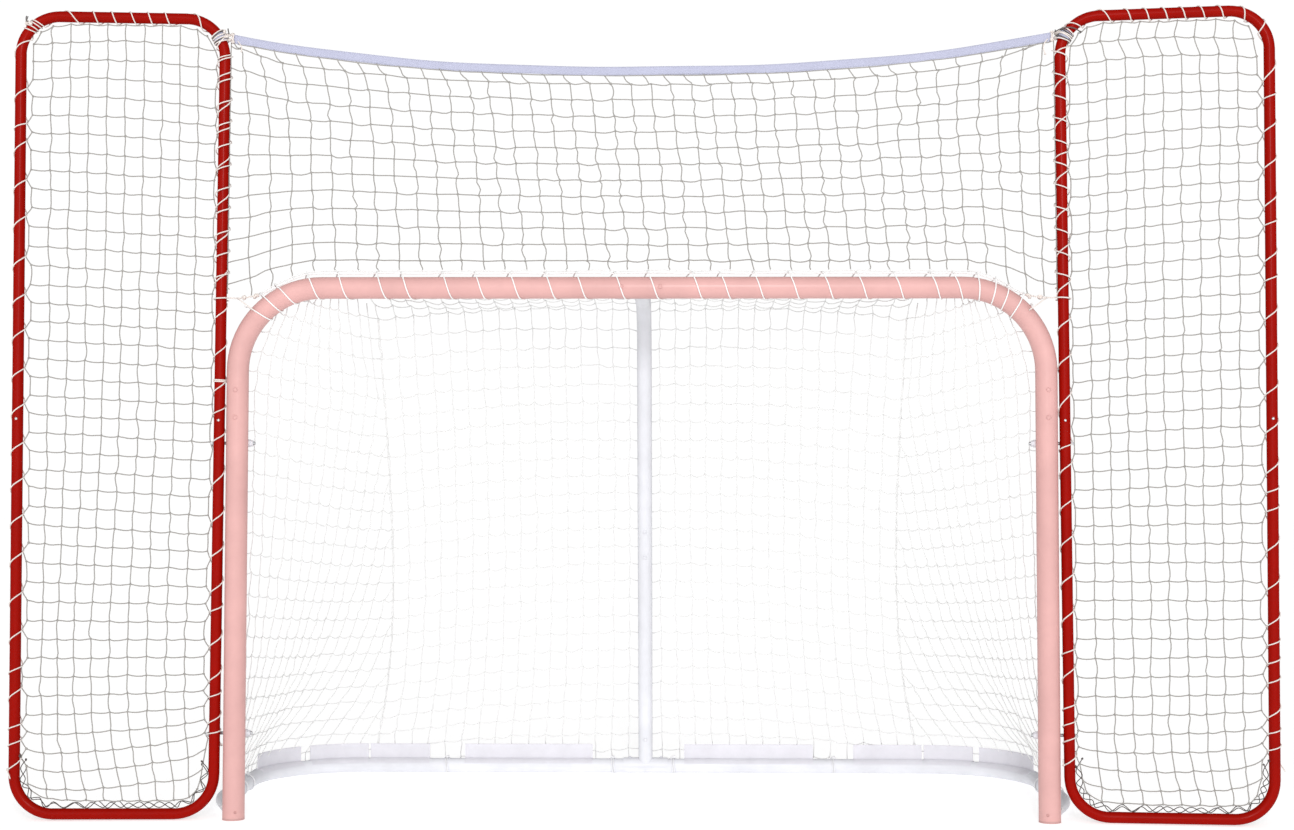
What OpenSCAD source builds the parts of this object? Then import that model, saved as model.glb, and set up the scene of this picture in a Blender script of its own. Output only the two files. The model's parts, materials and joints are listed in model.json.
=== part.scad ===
// Six-foot by four-foot street hockey goal with a netted backstop:
// a steel tube goal with a rear base and a centre support, two netted side
// wings that turn in hook bolts on the goal posts, and an upper net hung
// between the wings from a webbing strap.
// Millimetres. +Z up, +X to the goal's right seen from the front, +Y towards
// the rear. The mouth plane through the post centres is y = 0, floor is z = 0.

/* [Goal mouth] */
// Clear width between the posts
mouth_w = 1829; // [1600:1:2000]
// Clear height under the crossbar
mouth_h = 1206; // [1100:1:1260]
// Outside diameter of posts and crossbar
goal_d = 50.8; // [48:0.1:52]
// Wall of posts and crossbar
goal_wall = 2; // [1.5:0.1:3]
// Centreline radius of the two crossbar bends
corner_r = 194; // [170:1:210]
// Height of the joint between post and crossbar leg
post_joint_z = 960; // [930:1:975]

/* [Base and support] */
// Outside diameter of the base rail and the centre support
rail_d = 38.1; // [35:0.1:40]
// Wall of base rail and centre support
rail_wall = 1.8; // [1.5:0.1:2.5]
// Depth of the rear rail behind the mouth plane, on the centreline
base_y = 756; // [740:1:780]
// Half width of the base between the side rails' centres
base_hw = 1007; // [1000:1:1015]
// Centreline radius of the base's rear corners
base_r = 262; // [240:1:280]
// Depth of the support arm's bend point behind the crossbar
shelf_y = 470; // [440:1:500]
// Centreline radius of the support's bend
elbow_r = 150; // [120:1:170]

/* [Backstop wings] */
// Outside diameter of the wing tubes
wing_d = 25.4; // [24:0.1:27]
// Wall of the wing tubes
wing_wall = 1.5; // [1.2:0.1:2]
// Height of the wing's top tube centre
wing_top = 1865; // [1820:1:1900]
// Distance between leg centres at the bottom corner
wing_w_low = 455.4; // [440:0.1:480]
// Distance between leg centres at the top corner
wing_w_high = 472.4; // [450:0.1:490]
// Centreline radius of the wing's corners
wing_r = 90; // [80:1:100]
// Distance of the hinge axis from the goal's centre plane at the floor
hinge_x = 986.8; // [986.6:0.1:990]
// Inward lean of the hinge axis
hinge_lean = 0.3; // [0.2:0.05:0.35]
// Forward toe of the left wing as it stands
toe_left = 3.5; // [0:0.5:8]
// Forward toe of the right wing as it stands
toe_right = 6.5; // [0:0.5:8]
// Height of the joint between upper and lower wing frame
wing_joint_z = 897; // [880:1:930]

/* [Hardware] */
// Rod diameter of the hook bolts
hook_d = 8; // [7:0.1:8]
// Height of the upper hook bolts
hook_z_high = 869; // [845:1:875]
// Height of the lower hook bolts
hook_z_low = 196; // [180:1:220]
// Lace cord diameter
lace_d = 3; // [2:0.1:3.5]
// Webbing strap width
strap_w = 20; // [18:1:25]
// Webbing strap thickness
strap_t = 2; // [1.5:0.1:2.5]

/* [Hidden] */
$fn = 48;

goal_col = "#f2bfbb";
white_col = "#f4f4f7";
red_col = "#a81c15";
net_col = "#dbd9d4";
lace_col = "#efe6dc";
strap_col = "#ccd0dc";
steel_col = "#8d9094";
cap_col = "#dba9a4";

gr = goal_d / 2;
rr = rail_d / 2;
wr = wing_d / 2;
post_x = mouth_w / 2 + gr;
bar_z = mouth_h + gr;
bend_x = post_x - corner_r;
bend_z = bar_z - corner_r;
cap_h = 5;
// how far straight runs reach into the bends
lap = 2;
// the model's origin is on the floor at the middle of its depth
mid_y = 358;
lean_k = tan(hinge_lean);
// hinge axis distance from the centre plane at height z
function tube_x(z) = hinge_x - lean_k * z;
// depth of the rear rail's centreline at |x|
// where the rear corner bend meets the rear half
// front run of the side rail: it leaves the post outwards at this angle
foot_ang = 21;
foot_bend_r = 180;
foot_t = foot_bend_r * tan(foot_ang / 2);
foot_run = (base_hw - post_x - gr * sin(foot_ang)) / sin(foot_ang);
foot_v = [base_hw, gr * cos(foot_ang) + foot_run * cos(foot_ang)];
// support: leg angle from vertical and its tangent length
leg_ang = atan((base_y - shelf_y) / (bar_z - rr));
leg_len = norm([base_y - shelf_y, bar_z - rr]);
elbow_bend = 90 - leg_ang;
elbow_t = elbow_r * tan(elbow_bend / 2);
leg_joint = 620;

module about_origin() {
  translate([0, -mid_y, 0]) children();
}

// a straight tube between two points
module tube_run(a, b, r, w) {
  difference() {
    rod(a, b, r);
    run(a, b, r - w, 1, 1);
  }
}

// a bent tube in the XY plane, centred on the origin, from angle 0 to a
module tube_bend(cr, a, r, w) {
  rotate_extrude(angle = a) translate([cr, 0]) difference() {
    circle(r = r);
    circle(r = r - w);
  }
}

module rod(a, b, r) {
  d = b - a;
  l = norm(d);
  translate(a) rotate([0, acos(d[2] / l), atan2(d[1], d[0])]) cylinder(r = r, h = l);
}

// a straight round bar that reaches a little past its ends, into the bends
module run(a, b, r, ea, eb) {
  u = (b - a) / norm(b - a);
  rod(a - ea * u, b + eb * u, r);
}

// a bend in the XY plane; bending draws the tube a little thinner than the straight runs
module bend(cr, a, r) {
  rotate_extrude(angle = a) translate([cr, 0]) circle(r = r - 0.25);
}

// cord loop round a tube that runs along Z
module cord_ring(tube_r) {
  rotate_extrude($fn = 32) translate([tube_r + lace_d / 2 + 0.3, 0]) circle(r = lace_d / 2, $fn = 16);
}

// cord hoop over a tube along Z, open below (towards -X)
module cord_hoop(tube_r) {
  rotate([0, 0, -125]) rotate_extrude(angle = 250, $fn = 32) translate([tube_r + lace_d / 2 + 0.3, 0]) circle(r = lace_d / 2, $fn = 16);
}

// button head bolt along -Y: head on the front, nut behind
module through_bolt(d, front, back, head = 1.75) {
  translate([0, front, 0]) rotate([90, 0, 0]) {
    intersection() {
      cylinder(r = d * head / 2, h = d * 0.6);
      translate([0, 0, -d * 0.55]) sphere(r = d * 1.15);
    }
  }
  rod([0, front, 0], [0, back + d * 0.9, 0], d / 2);
  translate([0, back, 0]) rotate([-90, 0, 0]) cylinder(r = d * 0.92, h = d * 0.75, $fn = 6);
}

// ---------- goal frame ----------

module goal_post(s) {
  color(goal_col) difference() {
    translate([s * post_x, 0, cap_h]) difference() {
      cylinder(r = gr, h = post_joint_z - cap_h);
      translate([0, 0, -1]) cylinder(r = gr - goal_wall, h = post_joint_z);
    }
    // cross holes for the hook bolts, behind the tube's centre
    for (z = [hook_z_low, hook_z_high])
      translate([s * post_x, hook_y, z]) rotate([0, 90, 0]) cylinder(r = hook_d / 2 + 0.25, h = 80, center = true);
    // hole for the crossbar sleeve's bolt
    translate([s * post_x, 0, post_joint_z - 32]) rotate([90, 0, 0]) cylinder(r = 3.3, h = 80, center = true);
    // hole for the spigot's fixing screw
    translate([s * post_x, 0, rr]) rotate([90, 0, -s * foot_ang]) cylinder(r = 3.3, h = 80, center = true);
  }
}

module left_goal_post() about_origin() { goal_post(-1); }
module right_goal_post() about_origin() { goal_post(1); }

module crossbar() about_origin() {
  color(goal_col) difference() {
    union() {
      for (s = [-1, 1]) {
        translate([s * post_x, 0, post_joint_z]) difference() {
          cylinder(r = gr, h = bend_z - post_joint_z);
          translate([0, 0, -1]) cylinder(r = gr - goal_wall, h = bend_z - post_joint_z + 2);
        }
        translate([s * bend_x, 0, bend_z]) rotate([90, 0, 0])
          rotate([0, 0, s > 0 ? 0 : 90]) tube_bend(corner_r, 90, gr, goal_wall);
      }
      tube_run([-bend_x, 0, bar_z], [bend_x, 0, bar_z], gr, goal_wall);
    }
    for (s = [-1, 1]) {
      translate([s * post_x, 0, post_joint_z + 32]) rotate([90, 0, 0]) cylinder(r = 3.3, h = 80, center = true);
      translate([s * 45, 0, bar_z]) rotate([90, 0, 0]) cylinder(r = 3.3, h = 80, center = true);
    }
  }
}

// inner sleeves that join each post to its crossbar leg
module crossbar_sleeves() about_origin() {
  color(steel_col) for (s = [-1, 1]) difference() {
    translate([s * post_x, 0, post_joint_z - 60]) difference() {
      cylinder(r = gr - goal_wall - 0.2, h = 120);
      translate([0, 0, -1]) cylinder(r = gr - goal_wall - 2.2, h = 122);
    }
    for (dz = [-32, 32])
      translate([s * post_x, 0, post_joint_z + dz]) rotate([90, 0, 0]) cylinder(r = 3.3, h = 80, center = true);
  }
}

module crossbar_joint_bolts() about_origin() {
  color(goal_col) for (s = [-1, 1]) for (dz = [-32, 32])
    translate([s * post_x, 0, post_joint_z + dz]) through_bolt(6, -gr, gr);
}

module foot_cap(s) {
  color(cap_col) translate([s * post_x, 0, 0]) {
    cylinder(r = gr, h = cap_h);
    translate([0, 0, cap_h]) difference() {
      cylinder(r = gr - goal_wall - 0.2, h = 20);
      translate([0, 0, -1]) cylinder(r = gr - goal_wall - 2.5, h = 30);
      // flats that clear the spigot screw
      translate([0, 0, rr - cap_h]) rotate([90, 0, -s * foot_ang]) cylinder(r = 6, h = 80, center = true);
    }
  }
}
module left_foot_cap() about_origin() { foot_cap(-1); }
module right_foot_cap() about_origin() { foot_cap(1); }

// ---------- base ----------

// spigots screwed to the back of each post foot, that carry the side rails
module foot_spigots() about_origin() {
  color(steel_col) for (s = [-1, 1])
    translate([s * post_x, 0, rr]) rotate([0, 0, -s * foot_ang]) difference() {
      rotate([-90, 0, 0]) cylinder(r = rr - rail_wall - 0.2, h = gr + 75);
      translate([0, 0, -50]) cylinder(r = gr, h = 100);
      rotate([90, 0, 0]) cylinder(r = 3.3, h = 260, center = true);
      translate([0, gr + 45, -50]) cylinder(r = 3.3, h = 100);
    }
}

// one screw from the front of each post into its spigot, one down through each rail
module foot_spigot_bolts() about_origin() {
  color(steel_col) for (s = [-1, 1])
    translate([s * post_x, 0, rr]) rotate([0, 0, -s * foot_ang]) {
      rod([0, -gr + goal_wall + 0.8, 0], [0, gr + 30, 0], 3);
      translate([0, -gr + goal_wall + 0.8, 0]) rotate([-90, 0, 0]) cylinder(r = 5.5, h = 3.5);
      translate([0, gr + 45, -rr + 2]) cylinder(r = 3, h = 2 * rr - 2);
      translate([0, gr + 45, rr]) intersection() {
        cylinder(r = 5.5, h = 3.2);
        translate([0, 0, -3.6]) sphere(r = 7);
      }
    }
}

module rail_shape(s, r) {
  // front run, leaving the post outwards
  translate([s * post_x, 0, rr]) rotate([0, 0, -s * foot_ang]) rotate([-90, 0, 0]) cylinder(r = r, h = gr + foot_run - foot_t + lap);
  // bend that turns it straight back
  translate([s * (base_hw - foot_bend_r), foot_v[1] + foot_t, rr])
    rotate([0, 0, s > 0 ? -foot_ang : 180]) bend(foot_bend_r, foot_ang, r);
  run([s * base_hw, foot_v[1] + foot_t, rr], [s * base_hw, base_y - base_r, rr], r, lap, lap);
  // rear corner
  translate([s * (base_hw - base_r), base_y - base_r, rr])
    rotate([0, 0, s > 0 ? 0 : 90]) bend(base_r, 90, r);
  // rear half
  run([s * (base_hw - base_r), base_y, rr], [s * 0.15, base_y, rr], r, lap, 0);
}

module base_rail(s) {
  color(white_col) difference() {
    rail_shape(s, rr);
    rail_shape(s, rr - rail_wall);
    // cope against the post
    translate([s * post_x, 0, -10]) cylinder(r = gr, h = 100);
    // screw hole down into the spigot
    translate([s * post_x, 0, rr]) rotate([0, 0, -s * foot_ang]) translate([0, gr + 45, -rr]) cylinder(r = 3.3, h = 3 * rr);
    // tee screw holes
    translate([s * 42, base_y, 0]) cylinder(r = 3.3, h = 100);
  }
}
module left_base_rail() about_origin() { base_rail(-1); }
module right_base_rail() about_origin() { base_rail(1); }

// saddle over both rail ends with the socket spigot of the centre post
module base_tee() about_origin() {
  color(white_col) difference() {
    union() {
      intersection() {
        translate([0, base_y, rr]) rotate([0, 90, 0]) cylinder(r = rr + 3, h = 120, center = true);
        translate([0, base_y, rr + 22]) cube([130, 60, 44], center = true);
      }
      translate([0, base_y, rr]) rotate([leg_ang, 0, 0]) cylinder(r = rr - rail_wall - 0.2, h = 110);
    }
    translate([0, base_y, rr]) rotate([0, 90, 0]) cylinder(r = rr + 0.1, h = 200, center = true);
    translate([0, base_y, rr]) rotate([leg_ang, 0, 0]) translate([0, 0, rr + 6]) cylinder(r = rr - rail_wall - 3.2, h = 120);
    for (s = [-1, 1]) translate([s * 42, base_y, 0]) cylinder(r = 3.3, h = 100);
    translate([0, base_y, rr]) rotate([leg_ang, 0, 0]) translate([0, 0, 80]) rotate([90, 0, 0]) cylinder(r = 3.3, h = 80, center = true);
  }
}

module base_tee_bolts() about_origin() {
  color(steel_col) {
    for (s = [-1, 1]) translate([s * 42, base_y, 0]) {
      translate([0, 0, 3]) cylinder(r = 3, h = 2 * rr);
      translate([0, 0, 2 * rr + 3.1]) intersection() {
        cylinder(r = 5.5, h = 3.2);
        translate([0, 0, -3.6]) sphere(r = 7);
      }
    }
    translate([0, base_y, rr]) rotate([leg_ang, 0, 0]) translate([0, 0, 80]) through_bolt(6, -rr, rr);
  }
}

module centre_post() about_origin() {
  color(white_col) difference() {
    translate([0, base_y, rr]) rotate([leg_ang, 0, 0]) difference() {
      translate([0, 0, 1]) cylinder(r = rr, h = leg_joint - 1);
      cylinder(r = rr - rail_wall, h = leg_joint + 1);
      for (z = [80, leg_joint - 35]) translate([0, 0, z]) rotate([90, 0, 0]) cylinder(r = 3.3, h = 80, center = true);
    }
    // cope over the tee
    translate([0, base_y, rr]) rotate([0, 90, 0]) cylinder(r = rr + 3, h = 140, center = true);
  }
}

module arm_shape(r) {
  translate([0, base_y, rr]) rotate([leg_ang, 0, 0]) translate([0, 0, leg_joint]) cylinder(r = r, h = leg_len - elbow_t - leg_joint + lap);
  translate([0, shelf_y - elbow_t, bar_z - elbow_r]) rotate([90, 0, 90])
    rotate([0, 0, leg_ang]) bend(elbow_r, elbow_bend, r);
  run([0, 10, bar_z], [0, shelf_y - elbow_t, bar_z], r, 0, lap);
}

module support_arm() about_origin() {
  color(white_col) difference() {
    arm_shape(rr);
    arm_shape(rr - rail_wall);
    // cope against the crossbar bracket
    translate([0, 0, bar_z]) rotate([0, 90, 0]) cylinder(r = gr + 3, h = 140, center = true);
    translate([0, base_y, rr]) rotate([leg_ang, 0, 0]) translate([0, 0, leg_joint + 35]) rotate([90, 0, 0]) cylinder(r = 3.3, h = 80, center = true);
  }
}

module support_sleeve() about_origin() {
  color(steel_col) translate([0, base_y, rr]) rotate([leg_ang, 0, 0]) translate([0, 0, leg_joint - 70]) difference() {
    cylinder(r = rr - rail_wall - 0.2, h = 140);
    translate([0, 0, -1]) cylinder(r = rr - rail_wall - 2.2, h = 142);
    for (z = [35, 105]) translate([0, 0, z]) rotate([90, 0, 0]) cylinder(r = 3.3, h = 80, center = true);
  }
}

module support_bolt() about_origin() {
  color(steel_col) for (z = [leg_joint - 35, leg_joint + 35])
    translate([0, base_y, rr]) rotate([leg_ang, 0, 0]) translate([0, 0, z]) through_bolt(6, -rr, rr);
}

// saddle behind the crossbar with a plug for the support arm
module crossbar_bracket() about_origin() {
  color(white_col) difference() {
    union() {
      intersection() {
        translate([0, 0, bar_z]) rotate([0, 90, 0]) cylinder(r = gr + 3, h = 120, center = true);
        translate([0, gr + 3, bar_z]) cube([130, 30, 50], center = true);
      }
      translate([0, 0, bar_z]) rotate([-90, 0, 0]) cylinder(r = rr - rail_wall - 0.2, h = gr + 60);
    }
    translate([0, 0, bar_z]) rotate([0, 90, 0]) cylinder(r = gr, h = 140, center = true);
    for (s = [-1, 1]) translate([s * 45, 0, bar_z]) rotate([90, 0, 0]) cylinder(r = 3.3, h = 90, center = true);
  }
}

module crossbar_bracket_bolts() about_origin() {
  color(steel_col) for (s = [-1, 1])
    translate([s * 45, 0, bar_z]) through_bolt(6, -gr, gr + 3);
}

// ---------- net fixings on the goal ----------

// section of the snap-on net channel: a thin clip over the rail and an upright fin
module strip_section() {
  difference() {
    circle(r = rr + 1.5);
    circle(r = rr + 0.1);
    translate([-40, -80 + rr * 0.45]) square([80, 80]);
  }
  translate([-1.25, rr + 0.6]) square([2.5, 38]);
}

// straight channel piece on the rear rail from |x| = a to b
module strip_straight(s, a, b) {
  translate([0, base_y, rr]) translate([s * a, 0, 0])
    rotate([90, 0, s * 90]) linear_extrude(b - a) strip_section();
}

module strip_corner(s, a0, a1) {
  translate([s * (base_hw - base_r), base_y - base_r, rr]) mirror([s > 0 ? 0 : 1, 0, 0])
    rotate([0, 0, a0]) rotate_extrude(angle = a1 - a0) translate([base_r, 0]) strip_section();
}

module base_net_strips() about_origin() {
  color(white_col) {
    strip_straight(-1, 143, 488);
    strip_straight(-1, 583, base_hw - base_r - 1);
    strip_corner(-1, 54, 89);
    strip_corner(-1, 10, 48);
    strip_straight(1, 104, 451);
    strip_straight(1, 560, base_hw - base_r - 1);
    strip_corner(1, 60, 89);
    strip_corner(1, 10, 56);
  }
}

// cord ties that hold the net down to the rail between the channel pieces
module base_net_ties() about_origin() {
  color(steel_col) {
    for (x = [-536, -88, 74, 505]) {
      s = x > 0 ? 1 : -1;
      translate([x, base_y, rr]) rotate([0, -90, 0]) cord_hoop(rr);
    }
    for (s = [-1, 1]) for (y = [270, 350, 430])
      translate([s * base_hw, y, rr]) rotate([0, 0, 90]) rotate([0, -90, 0]) cord_hoop(rr);
  }
}

// pegs on the back of each post that the side net's edge cord hooks on
module post_net_clips() about_origin() {
  color(steel_col) for (s = [-1, 1]) for (z = [140 : 150 : 890])
    translate([s * post_x, gr - 0.02, z]) rotate([-90, 0, 0]) {
      cylinder(r = 3, h = 8.4);
      translate([0, 0, 8.4]) cylinder(r = 5, h = 2.6);
    }
}

// thin slab over three corner points, its edges drawn in so that neighbouring slabs stay clear
slab_inset = 3;
function unit(v) = v / norm(v);
function drawn_in(a, b, c) =
  let (u = unit(b - a), v = unit(c - a)) a + unit(u + v) * slab_inset / sin(acos(u * v) / 2);
module slab(pts) {
  hull() for (i = [0 : 2])
    translate(drawn_in(pts[i], pts[(i + 1) % 3], pts[(i + 2) % 3])) cube([1.6, 1.6, 1.6], center = true);
}

crease_top = [640, 124, 1196];
crease_low = [727, 741, 84];
net_elbow = [2, shelf_y + 24, bar_z + rr + 4];
net_foot = [2, base_y + 24, 84];

module goal_net_top() about_origin() {
  color(net_col) for (s = [-1, 1]) {
    slab([[s * 3, gr + 8, bar_z + rr + 6], [s * 640, gr + 8, bar_z + 8], [s * 3, shelf_y + 20, bar_z + rr + 6]]);
    slab([[s * 640, gr + 8, bar_z + 8], [s * 3, shelf_y + 20, bar_z + rr + 6], [s * 636, 122, 1200]]);
  }
}

module goal_net_back() about_origin() {
  color(net_col) for (s = [-1, 1]) {
    slab([[s * 3, net_elbow[1], net_elbow[2] - 6], [s * 636, 130, 1192], [s * 3, net_foot[1], 84]]);
    slab([[s * 636, 130, 1192], [s * 3, net_foot[1], 84], [s * 722, 744, 84]]);
  }
}

module goal_net_side(s) {
  color(net_col) {
    top = [s * 644, 124, 1186];
    slab([top, [s * 730, 742, 84], [s * 917, 687, 84]]);
    slab([top, [s * 917, 687, 84], [s * 1004, 497, 84]]);
    slab([top, [s * 1004, 497, 84], [s * 1004, 223, 84]]);
    slab([top, [s * 1004, 223, 84], [s * 945, 41, 84]]);
    slab([top, [s * 945, 41, 84], [s * 938, 41, 1003]]);
    slab([top, [s * 938, 41, 1003], [s * 648, gr + 8, bar_z]]);
  }
}
module goal_net_left() about_origin() { goal_net_side(-1); }
module goal_net_right() about_origin() { goal_net_side(1); }

// wraps of the lace that ties the upper net and the goal net to the crossbar
module crossbar_lace() about_origin() {
  color(lace_col) for (s = [-1, 1]) {
    for (x = [35 : 70 : 735]) if (abs(x - 35) > 30)
      translate([s * x, 0, bar_z]) rotate([0, 90, 0]) cord_ring(gr);
    for (a = [12 : 18 : 66])
      translate([s * bend_x, 0, bend_z]) rotate([0, s * (90 - a), 0])
        translate([0, 0, corner_r]) rotate([0, 90, 0]) cord_ring(gr);
  }
}

// ---------- upper net ----------

strap_end_z = 1820;
strap_mid_z = 1741;
strap_end_x = tube_x(strap_end_z) - wr - 2.5;
function strap_z(x) = strap_mid_z + (strap_end_z - strap_mid_z) * pow(abs(x) / strap_end_x, 2.4);
strap_n = 32;
strap_xs = [for (i = [0 : strap_n]) -strap_end_x + 2 * strap_end_x * i / strap_n];

// webbing strap: standing band that hangs in a shallow curve between the wings
module top_strap() about_origin() {
  pts = [for (x = strap_xs) for (c = [[-1, -1], [1, -1], [1, 1], [-1, 1]])
    [x, c[0] * strap_t / 2, strap_z(x) + c[1] * strap_w / 2]];
  n = strap_n;
  faces = concat([[0, 1, 2, 3]], [[4 * n + 3, 4 * n + 2, 4 * n + 1, 4 * n]],
    [for (i = [0 : n - 1]) for (k = [0 : 3])
      [4 * i + k, 4 * (i + 1) + k, 4 * (i + 1) + (k + 1) % 4, 4 * i + (k + 1) % 4]]);
  color(strap_col) polyhedron(points = pts, faces = faces);
}

top_net_edge = [[745, 1268], [800, 1263], [860, 1246], [910, 1229], [951, 1216]];
module top_net() about_origin() {
  half = concat([[0, 1268]], top_net_edge, [[tube_x(1500) - wr - 5.5, 1500]],
    [for (i = [strap_n : -2 : strap_n / 2]) let (x = min(strap_xs[i], tube_x(1800) - wr - 5.5)) [x, strap_z(x) - strap_w / 2 - 1]]);
  color(net_col) for (s = [-1, 1]) translate([0, 1, 0]) rotate([90, 0, 0]) linear_extrude(2)
    polygon([for (p = half) [s * p[0], p[1]]]);
}

module top_net_laces() about_origin() {
  color(lace_col) for (s = [-1, 1]) for (z = [1234 : 44 : 1790])
    translate([s * tube_x(z), 0, z]) cord_ring(wr + 0.1);
}

// ---------- hook bolts ----------

hook_y = wr + 0.08 + hook_d / 2;
hook_wrap = 118;

module hook_bolt(s, z) {
  translate([0, 0, z]) mirror([s > 0 ? 0 : 1, 0, 0]) {
    run([post_x - gr - 13, hook_y, 0], [tube_x(z), hook_y, 0], hook_d / 2, 0, 1);
    translate([tube_x(z), 0, 0]) rotate([0, 0, 90 - hook_wrap]) bend(hook_y, hook_wrap, hook_d / 2);
  }
}

module left_hook_bolts() about_origin() { color(steel_col) for (z = [hook_z_low, hook_z_high]) hook_bolt(-1, z); }
module right_hook_bolts() about_origin() { color(steel_col) for (z = [hook_z_low, hook_z_high]) hook_bolt(1, z); }

// saddle washers that square the nuts to the round posts
module hook_saddles() about_origin() {
  color(steel_col) for (s = [-1, 1]) for (z = [hook_z_low, hook_z_high]) difference() {
    translate([s * (post_x - gr - 2.5), hook_y, z]) rotate([0, s * 90, 0]) cylinder(r = 9, h = 16);
    translate([s * post_x, 0, z - 20]) cylinder(r = gr, h = 40);
    translate([s * post_x, hook_y, z]) rotate([0, 90, 0]) cylinder(r = hook_d / 2 + 0.25, h = 120, center = true);
  }
}

module hook_nuts() about_origin() {
  color(steel_col) for (s = [-1, 1]) for (z = [hook_z_low, hook_z_high])
    translate([s * (post_x - gr - 2.5), hook_y, z]) rotate([0, -s * 90, 0]) difference() {
      cylinder(r = 7.4, h = 6, $fn = 6);
      translate([0, 0, -1]) cylinder(r = hook_d / 2 + 0.05, h = 8);
    }
}

// ---------- backstop wings ----------
// Wing frame: hinge tube on the local Z axis, local +X outwards.

module wing_place(s) {
  mirror([s > 0 ? 0 : 1, 0, 0]) translate([hinge_x, 0, 0]) rotate([0, -hinge_lean, 0])
    rotate([0, 0, s > 0 ? -toe_right : -toe_left]) children();
}
wing_base = wr;
low_z = wing_base + wing_r;
high_z = wing_top - wing_r;
// the outer leg leans out a little, and runs tangent into its corner bends
leg_lean = atan((wing_w_high - wing_w_low) / (high_z - low_z));
function leg_x(z) = wing_w_low - wing_r + wing_r / cos(leg_lean) + (z - low_z) * tan(leg_lean);
leg_low = [wing_w_low - wing_r + wing_r * cos(leg_lean), 0, low_z - wing_r * sin(leg_lean)];
leg_high = [wing_w_high - wing_r + wing_r * cos(leg_lean), 0, high_z - wing_r * sin(leg_lean)];
leg_mid = [leg_x(wing_joint_z), 0, wing_joint_z];

module wing_upper_shape(r) {
  translate([0, 0, wing_joint_z]) cylinder(r = r, h = high_z - wing_joint_z + lap);
  run(leg_mid, leg_high, r, 0, lap);
  translate([wing_r, 0, high_z]) rotate([90, 0, 0]) rotate([0, 0, 90]) bend(wing_r, 90, r);
  translate([wing_w_high - wing_r, 0, high_z]) rotate([90, 0, 0]) rotate([0, 0, -leg_lean]) bend(wing_r, 90 + leg_lean, r);
  run([wing_r, 0, wing_top], [wing_w_high - wing_r, 0, wing_top], r, lap, lap);
}

module wing_upper_tube(s) {
  color(red_col) wing_place(s) difference() {
    wing_upper_shape(wr);
    wing_upper_shape(wr - wing_wall);
    for (x = [0, leg_x(wing_joint_z + 25)]) translate([x, 0, wing_joint_z + 25]) rotate([90, 0, 0]) cylinder(r = 3.3, h = 20);
  }
}

module wing_lower_shape(r, top) {
  translate([0, 0, low_z - lap]) cylinder(r = r, h = top - low_z + lap);
  run(leg_low, [leg_x(top), 0, top], r, lap, 0);
  translate([wing_r, 0, low_z]) rotate([90, 0, 0]) rotate([0, 0, 180]) bend(wing_r, 90, r);
  translate([wing_w_low - wing_r, 0, low_z]) rotate([90, 0, 0]) rotate([0, 0, 270]) bend(wing_r, 90 - leg_lean, r);
  run([wing_r, 0, wing_base], [wing_w_low - wing_r, 0, wing_base], r, lap, lap);
}

module wing_lower_tube(s) {
  color(red_col) wing_place(s) difference() {
    wing_lower_shape(wr, wing_joint_z - 0.1);
    wing_lower_shape(wr - wing_wall, wing_joint_z - 0.1);
  }
}

// reduced sleeves inside the legs, fixed in the lower frame, that the upper frame slides on
module wing_sleeves(s) {
  color(steel_col) wing_place(s) for (p = [[0, 0], [leg_x(wing_joint_z), leg_lean]])
    translate([p[0], 0, wing_joint_z]) rotate([0, p[1], 0]) difference() {
      translate([0, 0, -60]) cylinder(r = wr - wing_wall - 0.2, h = 120);
      translate([0, 0, -61]) cylinder(r = wr - wing_wall - 1.7, h = 122);
      translate([0, 0, 25]) rotate([90, 0, 0]) cylinder(r = 3.3, h = 20);
    }
}

// spring snap buttons that latch the upper frame on the sleeves
module wing_snap_buttons(s) {
  color(steel_col) wing_place(s) for (x = [0, leg_x(wing_joint_z + 25)]) translate([x, 0, wing_joint_z + 25]) {
    translate([0, -wr + 5, 0]) rotate([90, 0, 0]) {
      cylinder(r = 3, h = 5.6);
      translate([0, 0, 5.6]) scale([1, 1, 1]) intersection() {
        cylinder(r = 3, h = 1.6);
        translate([0, 0, -1.7]) sphere(r = 3.4);
      }
    }
    // leaf of the spring clip inside the sleeve
    translate([-2.5, -wr + 5, -18]) cube([5, 0.8, 22]);
  }
}

net_gap = wr + 3.9;
net_notch = 34;
// the wing's net, as one sheet inside the frame with cut-outs round the hook bolts
module wing_net(s) {
  cr = wing_r - net_gap;
  color(net_col) wing_place(s) translate([0, 1, 0]) rotate([90, 0, 0]) linear_extrude(2) difference() {
    polygon(concat(
      [for (a = [180 : 15 : 270]) [wing_r + cr * cos(a), low_z + cr * sin(a)]],
      [for (a = [270 : 15 : 360]) [wing_w_low - wing_r + cr * cos(a), low_z + cr * sin(a)]],
      [for (a = [0 : 15 : 90]) [wing_w_high - wing_r + cr * cos(a), high_z + cr * sin(a)]],
      [for (a = [90 : 15 : 180]) [wing_r + cr * cos(a), high_z + cr * sin(a)]]));
    for (z = [hook_z_low, hook_z_high]) translate([0, z - 16]) square([net_notch, 32]);
  }
}

module wing_lace(s) {
  color(lace_col) wing_place(s) {
    for (z = [120 : 88 : 1220]) if (abs(z - hook_z_low) > 22 && abs(z - hook_z_high) > 22 && abs(z - wing_joint_z - 25) > 12)
      translate([0, 0, z]) cord_ring(wr);
    for (z = [1256 : 88 : 1760]) translate([0, 0, z]) cord_ring(wr);
    for (z = [120 : 88 : 1770]) if (abs(z - wing_joint_z - 25) > 12)
      translate([leg_x(z), 0, z]) cord_ring(wr);
    for (x = [100 : 44 : 370])
      translate([x, 0, wing_top]) rotate([0, 90, 0]) cord_ring(wr);
  }
}

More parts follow.
